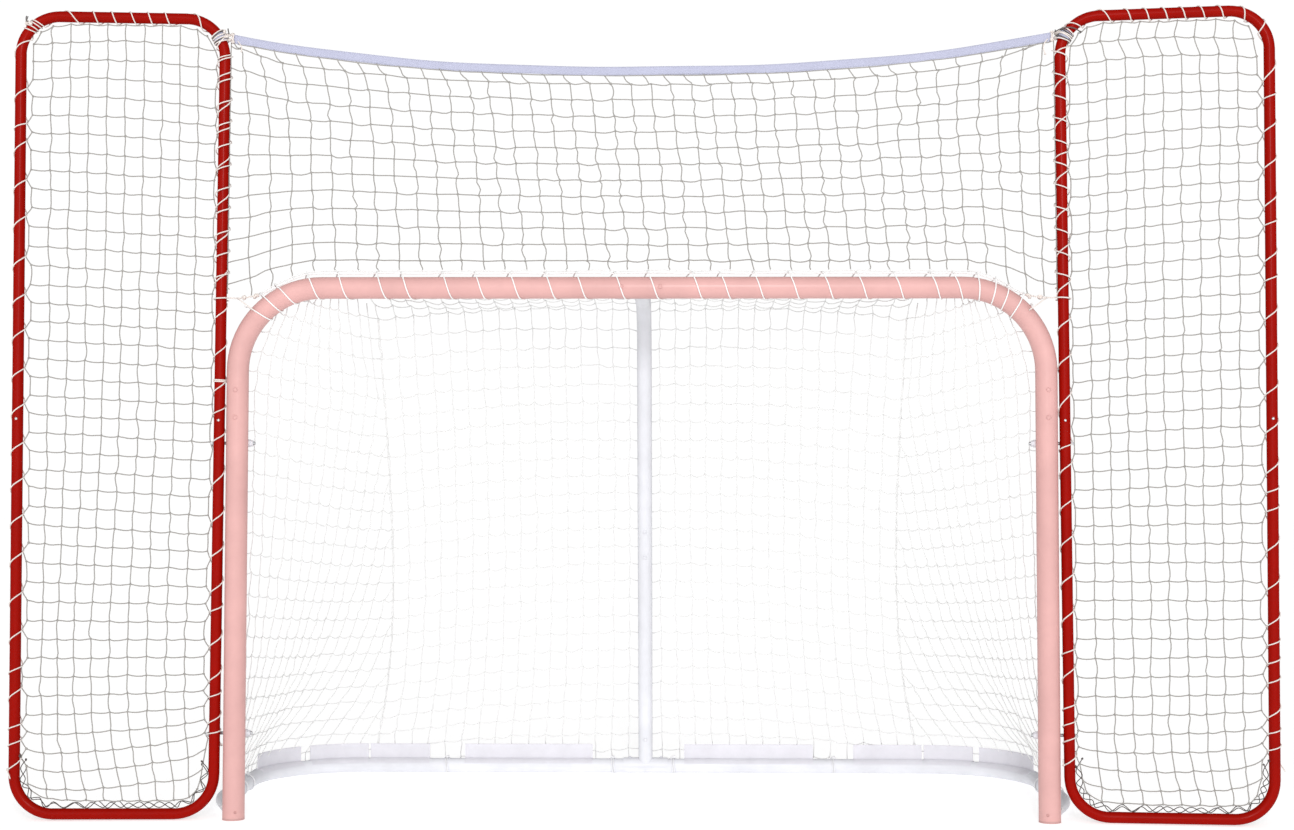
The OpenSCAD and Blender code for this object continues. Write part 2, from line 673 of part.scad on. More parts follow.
// sewn loop of the strap, on the bend of the hinge tube
loop_ang = asin((strap_end_z - high_z) / wing_r);
loop_half = 6.4;
module strap_loop(s) {
  color(strap_col) wing_place(s) translate([wing_r, 0, high_z]) rotate([90, 0, 0]) rotate([0, 0, 180 - loop_ang - loop_half])
    rotate_extrude(angle = 2 * loop_half) translate([wing_r, 0]) difference() {
      circle(r = wr + 2.3);
      circle(r = wr + 0.3);
    }
}

module left_wing_upper_tube() about_origin() { wing_upper_tube(-1); }
module left_wing_lower_tube() about_origin() { wing_lower_tube(-1); }
module left_wing_sleeves() about_origin() { wing_sleeves(-1); }
module left_wing_snap_buttons() about_origin() { wing_snap_buttons(-1); }
module left_wing_net() about_origin() { wing_net(-1); }
module left_wing_lace() about_origin() { wing_lace(-1); }
module left_strap_loop() about_origin() { strap_loop(-1); }
module right_wing_upper_tube() about_origin() { wing_upper_tube(1); }
module right_wing_lower_tube() about_origin() { wing_lower_tube(1); }
module right_wing_sleeves() about_origin() { wing_sleeves(1); }
module right_wing_snap_buttons() about_origin() { wing_snap_buttons(1); }
module right_wing_net() about_origin() { wing_net(1); }
module right_wing_lace() about_origin() { wing_lace(1); }
module right_strap_loop() about_origin() { strap_loop(1); }

left_goal_post();
right_goal_post();
crossbar();
crossbar_sleeves();
crossbar_joint_bolts();
left_foot_cap();
right_foot_cap();
foot_spigots();
foot_spigot_bolts();
left_base_rail();
right_base_rail();
base_tee();
base_tee_bolts();
centre_post();
support_arm();
support_sleeve();
support_bolt();
crossbar_bracket();
crossbar_bracket_bolts();
base_net_strips();
base_net_ties();
post_net_clips();
goal_net_top();
goal_net_back();
goal_net_left();
goal_net_right();
crossbar_lace();
top_net();
top_net_laces();
top_strap();
left_hook_bolts();
right_hook_bolts();
hook_saddles();
hook_nuts();
left_wing_upper_tube();
left_wing_lower_tube();
left_wing_sleeves();
left_wing_snap_buttons();
left_wing_net();
left_wing_lace();
left_strap_loop();
right_wing_upper_tube();
right_wing_lower_tube();
right_wing_sleeves();
right_wing_snap_buttons();
right_wing_net();
right_wing_lace();
right_strap_loop();
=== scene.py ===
"""Looks of the goal net with its backstop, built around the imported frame.
Lengths in the making are millimetres, with the mouth plane at y = 0; to_frame() turns them into the frame's metres."""
import json
import math

import bpy
import numpy as np
from mathutils import Matrix, Vector

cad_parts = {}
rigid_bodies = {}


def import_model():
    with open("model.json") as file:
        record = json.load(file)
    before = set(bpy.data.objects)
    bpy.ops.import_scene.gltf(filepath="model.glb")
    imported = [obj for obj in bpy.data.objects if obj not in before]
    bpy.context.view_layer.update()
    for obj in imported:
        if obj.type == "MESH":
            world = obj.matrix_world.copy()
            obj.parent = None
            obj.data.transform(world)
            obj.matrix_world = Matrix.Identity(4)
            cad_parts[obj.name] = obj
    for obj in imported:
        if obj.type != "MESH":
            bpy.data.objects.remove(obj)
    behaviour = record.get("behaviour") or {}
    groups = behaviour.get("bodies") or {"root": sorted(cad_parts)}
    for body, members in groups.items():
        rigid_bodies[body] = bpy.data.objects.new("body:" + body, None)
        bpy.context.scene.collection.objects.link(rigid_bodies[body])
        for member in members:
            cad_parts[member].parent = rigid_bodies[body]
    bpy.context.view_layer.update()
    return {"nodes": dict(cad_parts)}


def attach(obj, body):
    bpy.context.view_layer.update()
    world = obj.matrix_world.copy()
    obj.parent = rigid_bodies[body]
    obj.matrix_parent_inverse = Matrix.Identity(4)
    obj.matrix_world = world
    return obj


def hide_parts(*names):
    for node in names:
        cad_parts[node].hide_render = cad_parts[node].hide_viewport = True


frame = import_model()
MID_Y = 358.0


def to_frame(p):
    p = np.array(p, float)
    p[..., 1] -= MID_Y
    return p / 1000.0


def unit(v):
    v = np.asarray(v, float)
    return v / np.maximum(np.linalg.norm(v, axis=-1, keepdims=True), 1e-9)


# ------------------------------------------------------------------ camera
YAW, PITCH, ROLL, FOCAL = -0.01541, 0.04223, 0.0009, 1896.4
ax = np.array([math.cos(YAW), -math.sin(YAW), 0.0])
ay = np.array([math.sin(YAW), math.cos(YAW), 0.0])
az = np.array([0.0, 0.0, 1.0])
look = math.cos(PITCH) * ay + math.sin(PITCH) * az
up0 = -math.sin(PITCH) * ay + math.cos(PITCH) * az
right = math.cos(ROLL) * ax + math.sin(ROLL) * up0
up = -math.sin(ROLL) * ax + math.cos(ROLL) * up0
eye = to_frame([82.4, -4400.0, 748.8])
cam_data = bpy.data.cameras.new("camera")
cam_data.sensor_fit = "HORIZONTAL"
cam_data.sensor_width = 36.0
cam_data.lens = FOCAL * 36.0 / 1294.0
cam_data.clip_end = 60.0
cam = bpy.data.objects.new("camera", cam_data)
bpy.context.scene.collection.objects.link(cam)
cam.matrix_world = Matrix((
    (right[0], up[0], -look[0], eye[0]),
    (right[1], up[1], -look[1], eye[1]),
    (right[2], up[2], -look[2], eye[2]),
    (0, 0, 0, 1)))
bpy.context.scene.camera = cam

# ------------------------------------------------------------------ sizes that part.scad holds
GR, RR, WR = 25.4, 19.05, 12.7
POST_X, BAR_Z, CORNER_R = 939.9, 1231.4, 194.0
BEND_X, BEND_Z = POST_X - CORNER_R, BAR_Z - CORNER_R
BASE_Y, BASE_HW, BASE_R = 756.0, 1007.0, 262.0
SHELF_Y, ELBOW_R = 470.0, 150.0
WING_TOP, WING_LOW_W, WING_HIGH_W, WING_R, WING_BASE = 1865.0, 455.4, 472.4, 90.0, 12.7
HINGE_X, LEAN = 986.8, math.radians(0.3)
TOE = {-1: math.radians(3.5), 1: math.radians(6.5)}
LOW_Z, HIGH_Z = WING_BASE + WING_R, WING_TOP - WING_R
LEG_LEAN = math.atan((WING_HIGH_W - WING_LOW_W) / (HIGH_Z - LOW_Z))
HOOKS = (196.0, 869.0)
JOINT_Z = 897.0
LEG_ANG = math.atan((BASE_Y - SHELF_Y) / (BAR_Z - RR))


def tube_x(z):
    return HINGE_X - math.tan(LEAN) * z


def leg_x(z):
    return WING_LOW_W - WING_R + WING_R / math.cos(LEG_LEAN) + (z - LOW_Z) * math.tan(LEG_LEAN)


STRAP_END_Z, STRAP_MID_Z, STRAP_W = 1820.0, 1741.0, 20.0
STRAP_END_X = tube_x(STRAP_END_Z) - WR - 2.5


def strap_z(x):
    return STRAP_MID_Z + (STRAP_END_Z - STRAP_MID_Z) * (np.abs(x) / STRAP_END_X) ** 2.4


# ------------------------------------------------------------------ mesh making
class Maker:
    """Collects vertices, faces and face-corner UVs, then makes one object."""

    def __init__(self):
        self.v, self.loops, self.sizes, self.uv, self.n = [], [], [], [], 0

    def add(self, v, faces, uv=None):
        """v: (n, 3) in mm; faces: (m, k) indices; uv: (m, k, 2)."""
        faces = np.asarray(faces, np.int64)
        self.v.append(np.asarray(v, float))
        self.loops.append((faces + self.n).ravel())
        self.sizes.append(np.full(len(faces), faces.shape[1]))
        self.uv.append((np.zeros(faces.shape + (2,)) if uv is None else uv).reshape(-1, 2))
        self.n += len(v)

    def more_faces(self, faces, uv=None):
        """Faces on the vertices that were added last, with indices counted from the start of all."""
        faces = np.asarray(faces, np.int64)
        self.loops.append(faces.ravel())
        self.sizes.append(np.full(len(faces), faces.shape[1]))
        self.uv.append((np.zeros(faces.shape + (2,)) if uv is None else uv).reshape(-1, 2))

    def tube(self, path, r, sides=6, ref=None, cap=True, flat=None):
        """Sweeps a round section, or an oval one with flat = (across, along ref), along path (n, 3)."""
        p = np.asarray(path, float)
        n = len(p)
        t = np.zeros_like(p)
        t[1:-1] = p[2:] - p[:-2]
        t[0], t[-1] = p[1] - p[0], p[-1] - p[-2]
        t = unit(t)
        a = np.zeros_like(p)
        if ref is None:
            first = np.array([0.0, -1.0, 0.0])
            if abs(t[0] @ first) > 0.9:
                first = np.array([0.0, 0.0, 1.0])
            cur = unit(first - (first @ t[0]) * t[0])
            a[0] = cur
            for i in range(1, n):
                cur = cur - (cur @ t[i]) * t[i]
                cur = cur / max(np.linalg.norm(cur), 1e-9)
                a[i] = cur
        else:
            ref = np.broadcast_to(np.asarray(ref, float), p.shape)
            a = unit(ref - (ref * t).sum(1, keepdims=True) * t)
        b = np.cross(t, a)
        rr = np.broadcast_to(np.asarray(r, float), (n,))[:, None, None]
        ang = np.arange(sides) * 2 * math.pi / sides
        ka, kb = (1.0, 1.0) if flat is None else flat
        ring = ka * np.cos(ang)[None, :, None] * a[:, None] + kb * np.sin(ang)[None, :, None] * b[:, None]
        v = (p[:, None] + rr * ring).reshape(-1, 3)
        i = np.arange(n - 1)[:, None] * sides
        j = np.arange(sides)[None]
        k = (j + 1) % sides
        faces = np.stack([i + j, i + k, i + sides + k, i + sides + j], -1).reshape(-1, 4)
        s = np.concatenate([[0], np.cumsum(np.linalg.norm(np.diff(p, axis=0), axis=1))]) / 10.0
        u0, u1 = np.broadcast_to(j / sides, (n - 1, sides)), np.broadcast_to((j + 1) / sides, (n - 1, sides))
        s0, s1 = np.broadcast_to(s[:-1, None], (n - 1, sides)), np.broadcast_to(s[1:, None], (n - 1, sides))
        uv = np.stack([np.stack([u0, s0], -1), np.stack([u1, s0], -1), np.stack([u1, s1], -1), np.stack([u0, s1], -1)], -2).reshape(-1, 4, 2)
        base = self.n
        self.add(v, faces, uv)
        if cap:
            self.more_faces([base + np.arange(sides)[::-1], base + (n - 1) * sides + np.arange(sides)])

    def blobs(self, centres, basis, template):
        """Places a template mesh (verts, [faces...]) at every centre, with basis (m, 3, 3) rows as its axes."""
        tv, tfaces = template
        m, k = len(centres), len(tv)
        v = np.einsum("vi,mij->mvj", tv, basis) + np.asarray(centres, float)[:, None]
        base = self.n
        self.v.append(v.reshape(-1, 3))
        self.n += m * k
        off = base + np.arange(m) * k
        for f in tfaces:
            f = np.asarray(f)
            faces = (off[:, None, None] + f[None]).reshape(-1, f.shape[1])
            uv = np.zeros(faces.shape + (2,))
            uv[..., 0] = (faces % 7) / 7.0
            uv[..., 1] = (faces % 5) / 5.0
            self.more_faces(faces, uv)

    def make(self, name, material, body, replaces=(), slot=None, smooth=True):
        v = to_frame(np.concatenate(self.v)).astype(np.float32)
        loops = np.concatenate(self.loops).astype(np.int32)
        sizes = np.concatenate(self.sizes).astype(np.int32)
        uv = np.concatenate(self.uv).astype(np.float32)
        mesh = bpy.data.meshes.new(name)
        mesh.vertices.add(len(v))
        mesh.vertices.foreach_set("co", v.ravel())
        mesh.loops.add(len(loops))
        mesh.loops.foreach_set("vertex_index", loops)
        mesh.polygons.add(len(sizes))
        mesh.polygons.foreach_set("loop_start", np.concatenate([[0], np.cumsum(sizes)[:-1]]).astype(np.int32))
        layer = mesh.uv_layers.new(name="along")
        layer.data.foreach_set("uv", uv.ravel())
        mesh.polygons.foreach_set("use_smooth", np.full(len(sizes), smooth))
        mesh.update(calc_edges=True)
        mesh.validate(clean_customdata=False)
        mesh.materials.append(material)
        o = bpy.data.objects.new(name, mesh)
        bpy.context.scene.collection.objects.link(o)
        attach(o, body)
        if replaces:
            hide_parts(*replaces)
        return o


def sphere_template(rx, ry, rz, seg=6, rings=4):
    v = [[0, 0, rz]]
    for i in range(1, rings):
        a = math.pi * i / rings
        for j in range(seg):
            b = 2 * math.pi * (j + 0.5 * (i % 2)) / seg
            v.append([rx * math.sin(a) * math.cos(b), ry * math.sin(a) * math.sin(b), rz * math.cos(a)])
    v.append([0, 0, -rz])
    tri, quad = [], []
    for j in range(seg):
        tri.append([0, 1 + j, 1 + (j + 1) % seg])
        last = 1 + (rings - 2) * seg
        tri.append([len(v) - 1, last + (j + 1) % seg, last + j])
    for i in range(rings - 2):
        for j in range(seg):
            a, b = 1 + i * seg + j, 1 + i * seg + (j + 1) % seg
            quad.append([a, a + seg, b + seg, b])
    return np.array(v, float), [np.array(tri), np.array(quad)]


def ring_template(major, minor, axis, seg=8, sides=4):
    axis = unit(axis)
    a = unit(np.cross(axis, [0.0, 1.0, 0.0] if abs(axis[1]) < 0.9 else [1.0, 0, 0]))
    b = np.cross(axis, a)
    v, quad = [], []
    for i in range(seg):
        t = 2 * math.pi * i / seg
        out = math.cos(t) * a + math.sin(t) * b
        for j in range(sides):
            s = 2 * math.pi * j / sides
            v.append(out * (major + minor * math.cos(s)) + axis * minor * math.sin(s))
    for i in range(seg):
        for j in range(sides):
            a0, a1 = i * sides + j, i * sides + (j + 1) % sides
            b0, b1 = ((i + 1) % seg) * sides + j, ((i + 1) % seg) * sides + (j + 1) % sides
            quad.append([a0, b0, b1, a1])
    return np.array(v, float), [np.array(quad)]


def joined(*templates):
    v, faces, n = [], [], 0
    for tv, tf in templates:
        v.append(tv)
        faces += [f + n for f in tf]
        n += len(tv)
    return np.concatenate(v), faces


# a tied mesh knot: a small body with one turn of cord laid across it
KNOT = joined(sphere_template(2.5, 2.2, 2.9), ring_template(2.0, 1.25, [1.0, 0.25, 0.7]))
KNOT2 = joined(sphere_template(2.6, 2.1, 2.7), ring_template(1.9, 1.3, [1.0, -0.2, -0.6]))


# ------------------------------------------------------------------ cord nets
def relax(p, free, edges, rest, rounds, weight=0.0, slack_push=0.0, keep=None):
    """Pulls every cord back to at most its length, with a small weight on each free point."""
    p = p.copy()
    a, b = edges[:, 0], edges[:, 1]
    wa, wb = free[a].astype(float), free[b].astype(float)
    total = np.maximum(wa + wb, 1e-9)
    count = np.zeros(len(p))
    np.add.at(count, a, 1)
    np.add.at(count, b, 1)
    share = 1.6 / np.maximum(count, 1)[:, None]
    for k in range(rounds):
        p[:, 2] -= weight * free
        d = p[b] - p[a]
        length = np.linalg.norm(d, axis=1)
        over = length - rest
        move = np.where(over > 0, over, 0.0)
        if slack_push:
            move = move + np.where(over < -slack_push * rest, over + slack_push * rest, 0.0)
        step = d * (move / np.maximum(length, 1e-6) / total)[:, None]
        change = np.zeros_like(p)
        np.add.at(change, a, step * wa[:, None])
        np.add.at(change, b, -step * wb[:, None])
        p += change * share * free[:, None]
        if keep is not None:
            p = keep(p)
    return p


def cord_path(nodes, rest, down, sway, seg=4, limit=4.0):
    """A cord through the nodes. Each stretch between two nodes hangs by what its length has to spare."""
    nodes = np.asarray(nodes, float)
    a, b = nodes[:-1], nodes[1:]
    d = np.linalg.norm(b - a, axis=1)
    spare = np.clip(rest - d, 0, None)
    depth = np.minimum(np.sqrt(0.375 * np.maximum(d, 1e-3) * spare), limit)
    t = np.arange(seg) / seg
    shape = 4 * t * (1 - t)
    wave = np.sin(2 * math.pi * t)
    level = np.hypot((b - a)[:, 0], (b - a)[:, 1]) / np.maximum(d, 1e-6)
    off = depth[:, None] * (down[None] * level[:, None] + sway[0] * (1 - 0.75 * level[:, None]))
    pts = a[:, None] + (b - a)[:, None] * t[None, :, None] + off[:, None] * shape[None, :, None] + sway[1][:, None] * wave[None, :, None]
    return np.concatenate([pts.reshape(-1, 3), nodes[-1:]])


DOWN = np.array([0.0, 0.0, -1.0])


def ease(a, b, x):
    t = np.clip((np.asarray(x, float) - a) / (b - a), 0.0, 1.0)
    return t * t * (3 - 2 * t)


def turned(count, rng, spread=0.5, low=0.85, high=1.12):
    """Random bases: a full turn about y, small tilts about x and z, and a size."""
    a = rng.uniform(0, 2 * math.pi, count)
    b, c = rng.normal(0, spread, count), rng.normal(0, spread, count)
    o, z = np.ones(count), np.zeros(count)
    ry = np.stack([np.cos(a), z, np.sin(a), z, o, z, -np.sin(a), z, np.cos(a)], -1).reshape(-1, 3, 3)
    rx = np.stack([o, z, z, z, np.cos(b), -np.sin(b), z, np.sin(b), np.cos(b)], -1).reshape(-1, 3, 3)
    rz = np.stack([np.cos(c), -np.sin(c), z, np.sin(c), np.cos(c), z, z, z, o], -1).reshape(-1, 3, 3)
    return (ry @ rx @ rz) * rng.uniform(low, high, count)[:, None, None]


def net_cord(mk, nodes, rest, r, rng, sides=5, seg=4, limit=4.0, wob=0.7):
    nodes = np.asarray(nodes, float)
    m = len(nodes) - 1
    if m < 1:
        return
    path = cord_path(nodes, rest, DOWN, (rng.normal(0, 0.4, (m, 3)), rng.normal(0, wob, (m, 3))), seg, limit)
    mk.tube(path, r, sides)


def tie_knots(mk, centres, rng, size=1.0, template=None):
    centres = np.asarray(centres, float)
    half = rng.random(len(centres)) < 0.5
    for pick, t in ((half, KNOT), (~half, KNOT2)):
        if pick.any():
            mk.blobs(centres[pick], turned(int(pick.sum()), rng) * size, template or t)


def spline(points, step=4.0):
    """A smooth line through the points (Catmull-Rom), at about that spacing."""
    p = np.asarray(points, float)
    q = np.vstack([2 * p[0] - p[1], p, 2 * p[-1] - p[-2]])
    out = []
    for i in range(len(p) - 1):
        a, b, c, d = q[i], q[i + 1], q[i + 2], q[i + 3]
        n = max(2, int(round(np.linalg.norm(c - b) / step)))
        t = (np.arange(n) / n)[:, None]
        out.append(0.5 * (2 * b + (c - a) * t + (2 * a - 5 * b + 4 * c - d) * t ** 2 + (3 * b - a - 3 * c + d) * t ** 3))
    out.append(p[-1:])
    return np.concatenate(out)


def length_of(path):
    return float(np.linalg.norm(np.diff(np.asarray(path, float), axis=0), axis=1).sum())


made_lengths = {}

# ------------------------------------------------------------------ materials
UV_CORD = "along"


def start(name):
    m = bpy.data.materials.new(name)
    m.use_nodes = True
    nt = m.node_tree
    return m, nt, nt.nodes["Principled BSDF"]


def math_node(nt, op, a, b=None):
    n = nt.nodes.new("ShaderNodeMath")
    n.operation = op
    for i, x in enumerate((a, b)):
        if x is None:
            continue
        if isinstance(x, (int, float)):
            n.inputs[i].default_value = x
        else:
            nt.links.new(x, n.inputs[i])
    return n.outputs[0]


def noise(nt, coord, scale, detail=3.0, rough=0.5):
    n = nt.nodes.new("ShaderNodeTexNoise")
    n.inputs["Scale"].default_value = scale
    n.inputs["Detail"].default_value = detail
    n.inputs["Roughness"].default_value = rough
    nt.links.new(coord, n.inputs["Vector"])
    return n.outputs["Fac"]


def ramp(nt, fac, stops):
    n = nt.nodes.new("ShaderNodeValToRGB")
    e = n.color_ramp.elements
    while len(e) < len(stops):
        e.new(0.5)
    for x, (pos, c) in zip(e, stops):
        x.position = pos
        x.color = tuple(c) + (1.0,)
    nt.links.new(fac, n.inputs["Fac"])
    return n.outputs["Color"]


def scaled(nt, fac, lo, hi):
    n = nt.nodes.new("ShaderNodeMapRange")
    n.inputs["To Min"].default_value = lo
    n.inputs["To Max"].default_value = hi
    nt.links.new(fac, n.inputs["Value"])
    return n.outputs["Result"]


def bumped(nt, bsdf, height, strength, distance):
    n = nt.nodes.new("ShaderNodeBump")
    n.inputs["Strength"].default_value = strength
    n.inputs["Distance"].default_value = distance
    nt.links.new(height, n.inputs["Height"])
    nt.links.new(n.outputs["Normal"], bsdf.inputs["Normal"])


def shade(c, k):
    return tuple(min(1.0, x * k) for x in c)


def object_coord(nt):
    return nt.nodes.new("ShaderNodeTexCoord").outputs["Object"]


def paint(name, colour, rough=0.42, spec=0.4, coat=0.0, dust=(0.9, 0.9, 0.9), dust_amount=0.06, scuff=None):
    """Powder coat: fine orange peel, faint cloudiness, small scuffs that show a lighter or darker tone."""
    m, nt, b = start(name)
    oc = object_coord(nt)
    cloud = noise(nt, oc, 9.0, 4.0, 0.6)
    base = ramp(nt, cloud, [(0.3, shade(colour, 0.93)), (0.7, shade(colour, 1.05))])
    marks = noise(nt, oc, 55.0, 6.0, 0.72)
    mask = ramp(nt, marks, [(0.66, (0, 0, 0)), (0.74, (1, 1, 1))])
    mix = nt.nodes.new("ShaderNodeMix")
    mix.data_type = "RGBA"
    nt.links.new(math_node(nt, "MULTIPLY", mask, dust_amount * 4), mix.inputs["Factor"])
    nt.links.new(base, mix.inputs[6])
    mix.inputs[7].default_value = tuple(scuff or dust) + (1.0,)
    nt.links.new(mix.outputs[2], b.inputs["Base Color"])
    peel = noise(nt, oc, 900.0, 2.0, 0.5)
    nt.links.new(scaled(nt, marks, rough - 0.06, rough + 0.1), b.inputs["Roughness"])
    b.inputs["Specular IOR Level"].default_value = spec
    b.inputs["Coat Weight"].default_value = coat
    b.inputs["Coat Roughness"].default_value = 0.25
    bumped(nt, b, peel, 0.12, 0.0004)
    return m


def braid(name, colour, groove_shade=0.55, strands=4.0, pitch=2.2, rough=0.8, fuzz=0.25):
    """Braided twine: two families of strands cross on the cord's own lengthways map; the grooves between strands are
    darkened in the colour as painted shade, and soil noise adds random tone.
    """
    m, nt, b = start(name)
    uv = nt.nodes.new("ShaderNodeUVMap")
    uv.uv_map = UV_CORD
    sep = nt.nodes.new("ShaderNodeSeparateXYZ")
    nt.links.new(uv.outputs["UV"], sep.inputs[0])
    u = math_node(nt, "MULTIPLY", sep.outputs[0], 2 * math.pi * strands)
    v = math_node(nt, "MULTIPLY", sep.outputs[1], 2 * math.pi * pitch)
    s1 = math_node(nt, "SINE", math_node(nt, "ADD", u, v))
    s2 = math_node(nt, "SINE", math_node(nt, "SUBTRACT", u, v))
    w = math_node(nt, "ABSOLUTE", math_node(nt, "MULTIPLY", s1, s2))
    w = math_node(nt, "POWER", w, 0.5)
    soil = noise(nt, object_coord(nt), 14.0, 3.0, 0.6)
    tone = math_node(nt, "ADD", math_node(nt, "MULTIPLY", w, 0.7), math_node(nt, "MULTIPLY", soil, 0.45))
    # painted shade: the low points of the braid, in the grooves between strands, take the darker colour
    nt.links.new(ramp(nt, tone, [(0.15, shade(colour, groove_shade)), (0.85, colour)]), b.inputs["Base Color"])
    b.inputs["Roughness"].default_value = rough
    b.inputs["Specular IOR Level"].default_value = 0.25
    b.inputs["Sheen Weight"].default_value = fuzz
    b.inputs["Sheen Roughness"].default_value = 0.5
    bumped(nt, b, w, 0.35, 0.0006)
    return m


def webbing(name, colour):
    """Flat woven strap: rows of ribs across the band, crossed by fine lengthways threads."""
    m, nt, b = start(name)
    uv = nt.nodes.new("ShaderNodeUVMap")
    uv.uv_map = UV_CORD
    sep = nt.nodes.new("ShaderNodeSeparateXYZ")
    nt.links.new(uv.outputs["UV"], sep.inputs[0])
    u, v = sep.outputs[0], sep.outputs[1]
    ribs = math_node(nt, "SINE", math_node(nt, "ADD", math_node(nt, "MULTIPLY", v, 2 * math.pi * 5.0), math_node(nt, "MULTIPLY", math_node(nt, "SINE", math_node(nt, "MULTIPLY", u, 2 * math.pi * 22.0)), 1.3)))
    warp = math_node(nt, "SINE", math_node(nt, "MULTIPLY", u, 2 * math.pi * 22.0))
    weave = math_node(nt, "ADD", math_node(nt, "MULTIPLY", ribs, 0.35), math_node(nt, "MULTIPLY", warp, 0.15))
    soil = noise(nt, object_coord(nt), 18.0, 4.0, 0.6)
    tone = math_node(nt, "ADD", math_node(nt, "ADD", weave, 0.2), math_node(nt, "MULTIPLY", soil, 0.6))
    # painted shade: the colour darkens where the weave's height is low, in the hollows between ribs; soil noise adds
    # random tone
    nt.links.new(ramp(nt, tone, [(0.1, shade(colour, 0.8)), (0.8, colour)]), b.inputs["Base Color"])
    b.inputs["Roughness"].default_value = 0.72
    b.inputs["Specular IOR Level"].default_value = 0.3
    b.inputs["Sheen Weight"].default_value = 0.3
    bumped(nt, b, weave, 0.5, 0.0005)
    return m


def zinc(name, colour=(0.55, 0.56, 0.58)):
    m, nt, b = start(name)
    oc = object_coord(nt)
    spangle = noise(nt, oc, 160.0, 4.0, 0.65)
    nt.links.new(ramp(nt, spangle, [(0.3, shade(colour, 0.75)), (0.7, shade(colour, 1.15))]), b.inputs["Base Color"])
    b.inputs["Metallic"].default_value = 1.0
    nt.links.new(scaled(nt, spangle, 0.3, 0.52), b.inputs["Roughness"])
    bumped(nt, b, noise(nt, oc, 700.0, 2.0), 0.1, 0.0004)
    return m


def moulded(name, colour, rough=0.45):
    m, nt, b = start(name)
    oc = object_coord(nt)
    flow = noise(nt, oc, 22.0, 5.0, 0.65)
    nt.links.new(ramp(nt, flow, [(0.25, shade(colour, 0.92)), (0.75, shade(colour, 1.03))]), b.inputs["Base Color"])
    nt.links.new(scaled(nt, flow, rough - 0.07, rough + 0.08), b.inputs["Roughness"])
    b.inputs["Specular IOR Level"].default_value = 0.45
    bumped(nt, b, noise(nt, oc, 1200.0, 2.0), 0.15, 0.0003)
    return m


M_WING = paint("wing_red_powder_coat", (0.275, 0.0030, 0.0005), 0.5, 0.0, coat=0.11, scuff=(0.33, 0.03, 0.02), dust_amount=0.05)
M_GOAL = paint("goal_frame_powder_coat", (0.625, 0.355, 0.337), 0.5, 0.12, coat=0.25, scuff=(0.66, 0.45, 0.43), dust_amount=0.05)
M_BASE = paint("base_white_powder_coat", (0.70, 0.705, 0.745), 0.5, 0.15, coat=0.2, scuff=(0.56, 0.56, 0.6), dust_amount=0.05)
M_CAP = moulded("foot_cap_plastic", (0.50, 0.285, 0.27), 0.5)
M_CHANNEL = moulded("channel_plastic", (0.68, 0.67, 0.72), 0.42)
M_GOALNET = braid("goal_net_twine", (0.83, 0.83, 0.825), 0.9, 4.0, 2.0)
M_WHITE = braid("white_lace_twine", (0.90, 0.90, 0.895), 0.92, 4.0, 2.0)
# near-black twine that stands in for shade: painted shade on the foot lace and on some turns and loose ends at the
# wings' top corners
M_SHADE_TWINE = braid("near_black_twine_painted_shade", (0.11, 0.095, 0.09), 0.5, 4.0, 2.0)
M_BACKNET = braid("backstop_net_twine", (0.37, 0.355, 0.335), 0.74, 4.0, 2.2)
M_LACE = braid("lace_cord", (0.82, 0.745, 0.70), 0.74, 4.0, 1.7)
M_TIE = braid("tie_cord", (0.84, 0.84, 0.86), 0.88, 4.0, 2.0)
M_STRAP = webbing("strap_webbing", (0.47, 0.48, 0.62))
M_ZINC = zinc("zinc_plated_steel")
M_BUTTON = zinc("button_steel", (0.75, 0.75, 0.76))

for names, material_ in (
    (("left_goal_post", "right_goal_post", "crossbar", "crossbar_joint_bolts", "foot_spigot_bolts", "crossbar_bracket_bolts"), M_GOAL),
    (("left_foot_cap", "right_foot_cap"), M_CAP),
    (("left_base_rail", "right_base_rail", "base_tee", "base_tee_bolts", "centre_post", "support_arm", "support_bolt", "crossbar_bracket", "foot_spigots",
      "hook_saddles", "hook_nuts"), M_BASE),
    (("base_net_strips", "post_net_clips"), M_CHANNEL),
    (("left_wing_upper_tube", "right_wing_upper_tube", "left_wing_lower_tube", "right_wing_lower_tube"), M_WING),
    (("crossbar_sleeves", "support_sleeve",
      "left_hook_bolts", "right_hook_bolts", "left_wing_sleeves", "right_wing_sleeves"), M_ZINC),
    (("left_wing_snap_buttons", "right_wing_snap_buttons"), M_BUTTON),
):
    for name_ in names:
        o_ = frame["nodes"][name_]
        if not o_.material_slots:
            o_.data.materials.append(material_)
        for slot_ in o_.material_slots:
            slot_.material = material_


# ------------------------------------------------------------------ wings
def wing_place(q, side):
    """Wing coordinates (x out from the hinge tube, y, z) to mouth coordinates."""
    q = np.asarray(q, float)
    t = TOE[side]
    x = q[..., 0] * math.cos(t) + q[..., 1] * math.sin(t)
    y = -q[..., 0] * math.sin(t) + q[..., 1] * math.cos(t)
    x2 = x * math.cos(LEAN) - q[..., 2] * math.sin(LEAN)
    z2 = x * math.sin(LEAN) + q[..., 2] * math.cos(LEAN)
    return np.stack([(x2 + HINGE_X) * side, y, z2], -1)


